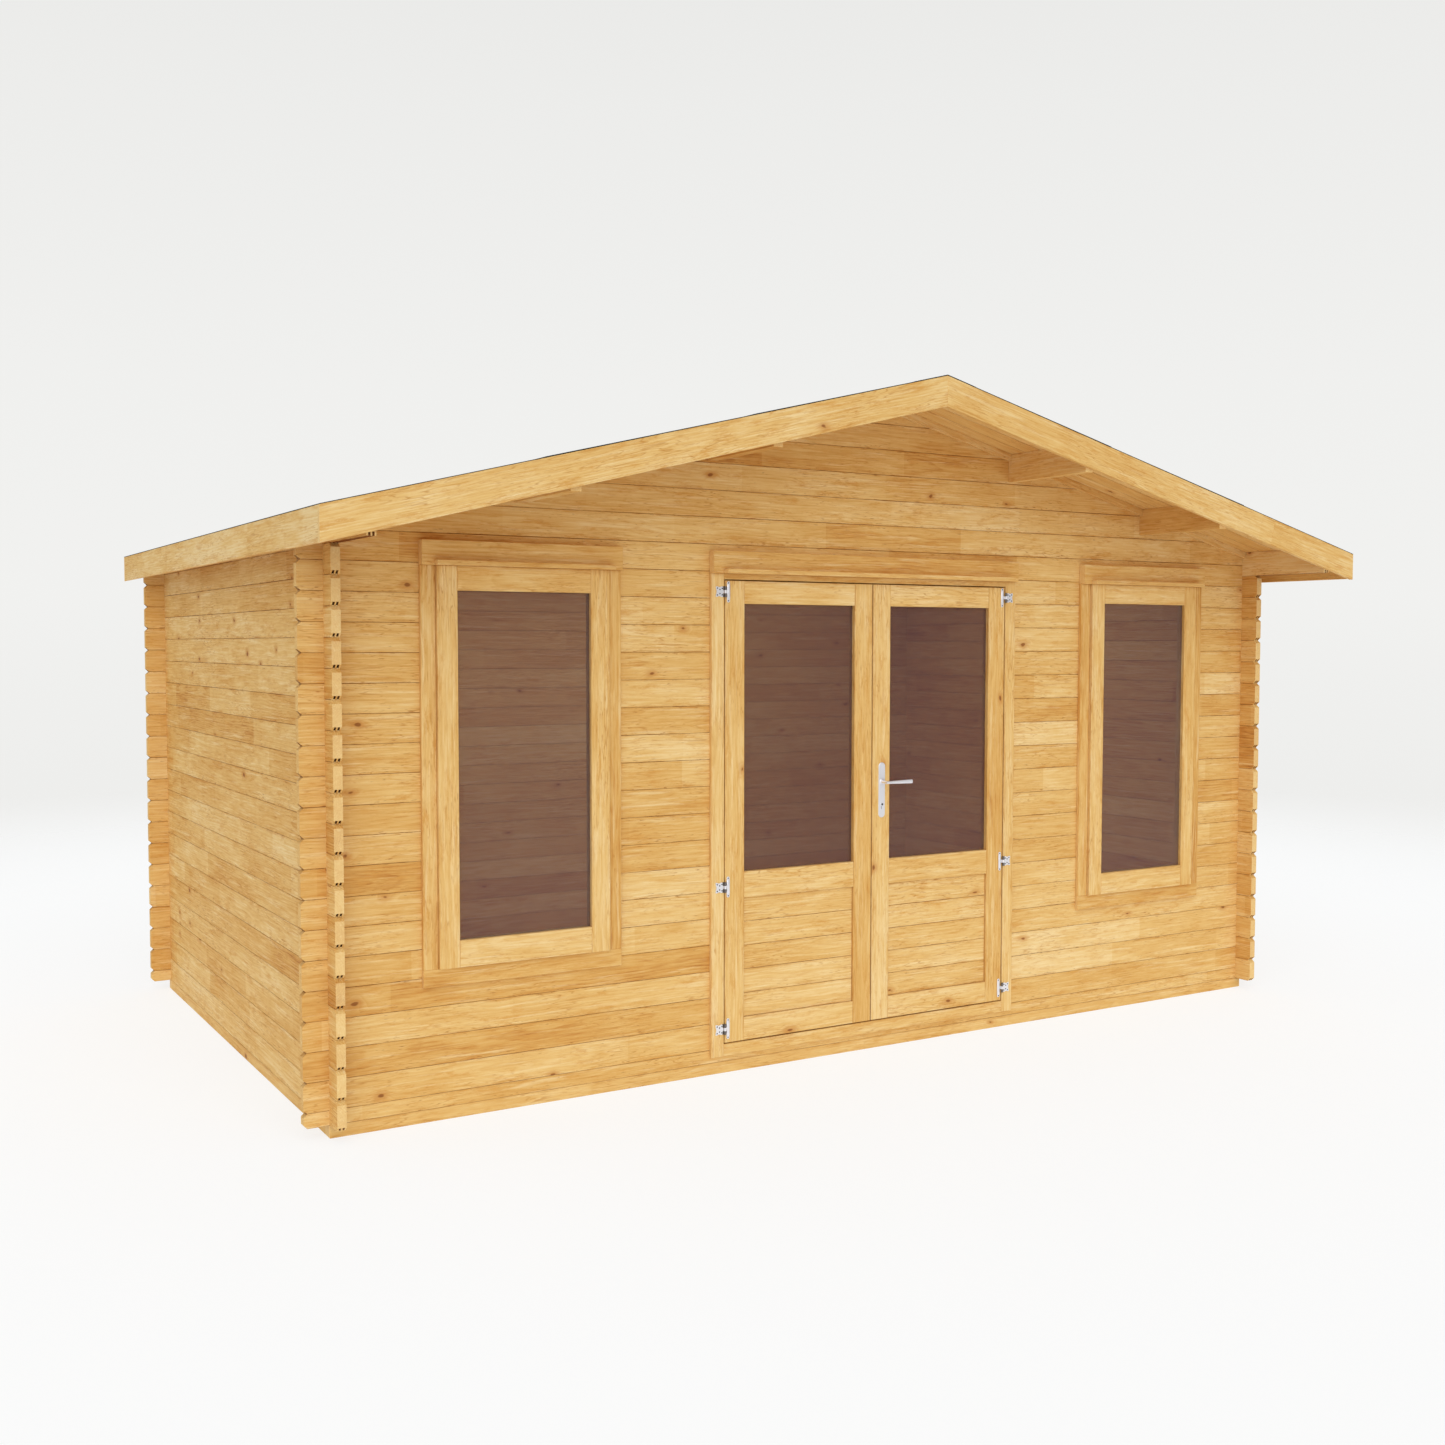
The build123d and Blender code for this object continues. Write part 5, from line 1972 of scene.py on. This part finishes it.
@dataclass
class Handle:
    """The long back plate with its keyhole, and the sprung lever.

    Turned parts are profiles: places along the axis and radii there. The slot and the rib beside the key's hole
    are a width, a thickness and a length, then how far left of the handle and below the key they start.
    """

    finishes: Finishes
    x: float = 0.0525
    plate_z: float = 1.147
    lever_z: float = 1.182
    key_z: float = 1.083
    plate: tuple[float, float] = (0.035, 0.243)
    plate_edge: float = 0.0012
    thickness: float = 0.003
    screw_reach: float = 0.108
    screw: float = 0.0030
    boss: Profile = ((-0.001, 0.0135), (0.002, 0.0135), (0.0035, 0.012), (0.0036, 0.0001))
    barrel: Profile = ((-0.001, 0.0082), (0.0012, 0.0082), (0.0016, 0.0078), (0.0016, 0.0001))
    ward: Profile = ((-0.001, 0.0050), (0.0018, 0.0050), (0.0020, 0.0046), (0.0020, 0.0001))
    ward_shift: tuple[float, float] = (0.0012, 0.001)
    rib: tuple[float, ...] = (0.0095, 0.0014, 0.0190, -0.00475, 0.0235)
    rib_edge: float = 0.0004
    slot: tuple[float, ...] = (0.0018, 0.0018, 0.0150, 0.0022, 0.0200)
    slot_edge: float = 0.0003
    stem: Profile = (
        (0.0, 0.0088),
        (0.004, 0.0086),
        (0.010, 0.0072),
        (0.030, 0.0070),
        (0.039, 0.0062),
        (0.0414, 0.0050),
        (0.042, 0.0001),
    )
    length: float = 0.139
    behind: float = 0.007
    set_back: float = 0.0062
    half_heights: tuple[float, float] = (0.0055, 0.0088)
    half_depths: tuple[float, float] = (0.0060, 0.0058)
    round_start: float = 0.08
    round_end: float = 0.985
    end_loss: float = 0.16

    @property
    def front(self) -> float:
        """The y of the plate's face."""
        return PLAN.door_face - self.thickness

    def upright(self, pile: Pile, sizes: Sequence[float], edge: float) -> None:
        """Puts an upright bar near the key's hole.

        Args:
            pile: The piece that it goes to.
            sizes: Width, thickness and length, and how far left of the handle and below the key it starts.
            edge: Width of its planed edges.
        """
        width, thickness, length, left, below = sizes
        timber = board(rectangle(width, thickness), 0.0, length, edge)
        pile.add(timber, (self.x - left, self.front, self.key_z - below), UPWARD, LEFTWARD)

    def back_plate(self) -> None:
        """Builds the plate with the lever's boss, the lock's barrel and two screws."""
        pile = Pile("handle_back_plate", 151)
        plate = pressed_plate(plate_outline(*self.plate, steps=12), self.thickness, self.plate_edge)
        pile.add(plate, (self.x, PLAN.door_face, self.plate_z), OUTWARD, SIDEWAYS)
        for profile, z in ((self.boss, self.lever_z), (self.barrel, self.key_z)):
            pile.add(lathe(profile, around=28), (self.x, self.front, z), OUTWARD, SIDEWAYS)
        self.upright(pile, self.rib, self.rib_edge)
        places = [(self.x, self.plate_z + reach) for reach in (self.screw_reach, -self.screw_reach)]
        screw_heads(pile, places, self.front, self.screw)
        pile.finish(Body.RIGHT_DOOR, Slot.STEEL, self.finishes.steel, ["handle_plate"], smooth=True)

    def lock_face(self) -> None:
        """Builds the face of the lock, nearly black: painted shade in the keyhole."""
        pile = Pile("lock_face", 152)
        right, up = self.ward_shift
        place = (self.x + right, self.front, self.key_z + up)
        pile.add(lathe(self.ward, around=20), place, OUTWARD, SIDEWAYS)
        self.upright(pile, self.slot, self.slot_edge)
        pile.finish(Body.RIGHT_DOOR, Slot.STEEL, self.finishes.dark, smooth=True)

    def lever_arm(self) -> None:
        """Builds the lever.

        Its section is a rounded square, (cos^4 + sin^4)^-1/4 times a circle, that grows towards its end. The arm's
        start is rounded off over the first part of its run, and its end over the last.
        """
        pile = Pile("lever_arm", 153)
        pile.add(lathe(self.stem, around=24), (self.x, self.front, self.lever_z), OUTWARD, SIDEWAYS)
        run = np.concatenate([np.linspace(0.0, 0.10, 7), np.linspace(0.15, 0.97, 12), [self.round_end, 0.995, 1.0]])
        angle = np.linspace(0.0, 2 * math.pi, 28, endpoint=False)
        start = np.clip((self.round_start - run) / self.round_start, 0, 1)
        end = np.clip((run - self.round_end) / (1.0 - self.round_end), 0, 1)
        rounding = np.sqrt(np.clip(1.0 - start ** 2, 0.01, 1.0)) * (1.0 - self.end_loss * end ** 2)
        tall, deep = (
            (near + (far - near) * run) * rounding for near, far in (self.half_heights, self.half_depths)
        )
        square = (np.abs(np.cos(angle)) ** 4 + np.abs(np.sin(angle)) ** 4) ** -0.25
        along = run * (self.length + self.behind) - self.behind
        rings = np.stack(
            [
                np.outer(along, np.ones(len(angle))),
                np.outer(tall, square * np.cos(angle)),
                np.outer(deep, square * np.sin(angle)),
            ],
            axis=-1,
        )
        reach = self.stem[-1][0] - self.set_back
        pile.add(skin(rings), (self.x, self.front - reach, self.lever_z), SIDEWAYS, UPWARD)
        pile.finish(Body.LEVER, Slot.STEEL, self.finishes.steel, ["handle_lever"], smooth=True)

    def build(self) -> None:
        """Builds the plate, the lock's face and the lever."""
        self.back_plate()
        self.lock_face()
        self.lever_arm()


# ---- Studio


@dataclass
class Studio:
    """Camera, pale floor and soft light."""

    place: tuple[float, float, float] = (-3.980, -6.599, 1.782)
    yaw: float = 31.018
    pitch: float = -2.914
    roll: float = 0.056
    lens: float = 37.91
    sensor: float = 36.0
    view_end: float = 200.0
    fade: tuple[float, float] = (5.2, 13.4)
    floor_sides: int = 96
    floor_colour: Colour = (0.287, 0.297, 0.306)
    floor_glow: float = 0.735
    dome: float = 0.55
    key: float = 1.32
    key_spread: float = 75.0
    key_from: tuple[float, float, float] = (-0.35, -0.75, 0.56)
    inside: float = 36.0
    inside_size: tuple[float, float] = (3.6, 1.8)
    inside_place: tuple[float, float, float] = (0.0, 0.2, 2.30)
    warmth: float = 0.983
    greys: tuple[tuple[float, float], ...] = (
        (-0.30, 0.855),
        (-0.09, 0.855),
        (-0.02, 0.868),
        (0.03, 0.882),
        (0.16, 0.872),
        (0.33, 0.842),
        (0.46, 0.805),
    )

    def camera(self) -> None:
        """Sets the camera where the photo was taken."""
        data = bpy.data.cameras.new("photo_camera")
        data.lens, data.sensor_width, data.clip_end = self.lens, self.sensor, self.view_end
        made = add_object("photo_camera", data)
        turn = (
            Matrix.Rotation(math.radians(-self.yaw), 4, "Z")
            @ Matrix.Rotation(math.radians(90.0 + self.pitch), 4, "X")
            @ Matrix.Rotation(math.radians(self.roll), 4, "Z")
        )
        made.matrix_world = Matrix.Translation(self.place) @ turn
        bpy.context.scene.camera = made

    def floor(self) -> None:
        """Lays a round pale floor that is white near the cabin and fades into the backdrop."""
        sides, radius = self.floor_sides, self.fade[1]
        angle = np.linspace(0.0, 2 * math.pi, sides, endpoint=False)
        ring = np.column_stack([np.cos(angle) * radius, np.sin(angle) * radius, np.zeros(sides)])
        mesh = bpy.data.meshes.new("floor_sheet")
        mesh.from_pydata(ring.tolist(), [], [list(range(sides))])
        g = Surface("floor_paper")
        x, y, _ = g.split(g.place())
        far = (x ** 2.0 + y ** 2.0) ** 0.5
        g.set(Base_Color=(*self.floor_colour, 1.0), Roughness=0.95, Alpha=1.0 - far.step(*self.fade))
        g.set(Specular_IOR_Level=0.0, Emission_Color=(1.0, 1.0, 0.995, 1.0), Emission_Strength=self.floor_glow)
        mesh.materials.append(g.material)
        add_object("floor_sheet", mesh)

    def backdrop(self) -> None:
        """Sets a white dome that lights the scene, behind a backdrop whose grey changes with height."""
        world = bpy.data.worlds.new("studio")
        g = Graph(world)
        stops = [(0.5 + rise, (grey, grey, grey * self.warmth)) for rise, grey in self.greys]
        height = g.split(g.place("Generated"))[2] + 0.5
        dome = g.signal("ShaderNodeBackground", sockets={0: (1.0, 1.0, 1.0, 1.0), 1: self.dome})
        seen = g.signal("ShaderNodeBackground", sockets={0: g.ramp(height, stops)})
        eye = g.signal("ShaderNodeLightPath", output="Is Camera Ray")
        both = g.signal("ShaderNodeMixShader", sockets={0: eye, 1: dome, 2: seen})
        g.node("ShaderNodeOutputWorld", sockets={"Surface": both})
        bpy.context.scene.world = world

    def lamps(self) -> None:
        """Adds a very soft key from the front left, and a soft lamp under the ridge that lights the inside."""
        key = bpy.data.lights.new("soft_key", "SUN")
        key.energy, key.angle = self.key, math.radians(self.key_spread)
        turn = Vector(self.key_from).to_track_quat("Z", "Y")
        add_object("soft_key", key).matrix_world = turn.to_matrix().to_4x4()
        inside = bpy.data.lights.new("inside_panel", "AREA")
        inside.shape, inside.energy = "RECTANGLE", self.inside
        inside.size, inside.size_y = self.inside_size
        made = add_object("inside_panel", inside)
        made.matrix_world = Matrix.Translation(self.inside_place)
        made.visible_camera = made.visible_glossy = made.visible_transmission = False
        bpy.context.scene.view_settings.view_transform = "Standard"

    def build(self) -> None:
        """Sets up camera, floor, backdrop and lamps."""
        self.camera()
        self.floor()
        self.backdrop()
        self.lamps()


class Part(Protocol):
    """A sub-assembly or the studio."""

    def build(self) -> None:
        """Makes its objects."""


def main() -> None:
    """Builds every sub-assembly and the studio round it."""
    logging.basicConfig(level=logging.INFO, format="%(name)s %(message)s")
    finishes = Finishes()
    parts: list[Part] = [Studio(), Base(finishes), LogWork(finishes), Roof(finishes)]
    parts += [Window(finishes, side) for side in Side]
    parts += [DoorSurround(finishes), *(DoorLeaf(finishes, side) for side in Side), Panes(finishes)]
    parts += [*(Hinges(finishes, side) for side in Side), Handle(finishes)]
    for part in parts:
        part.build()
        log.info("built %s", type(part).__name__)


if __name__ == "__main__":
    main()
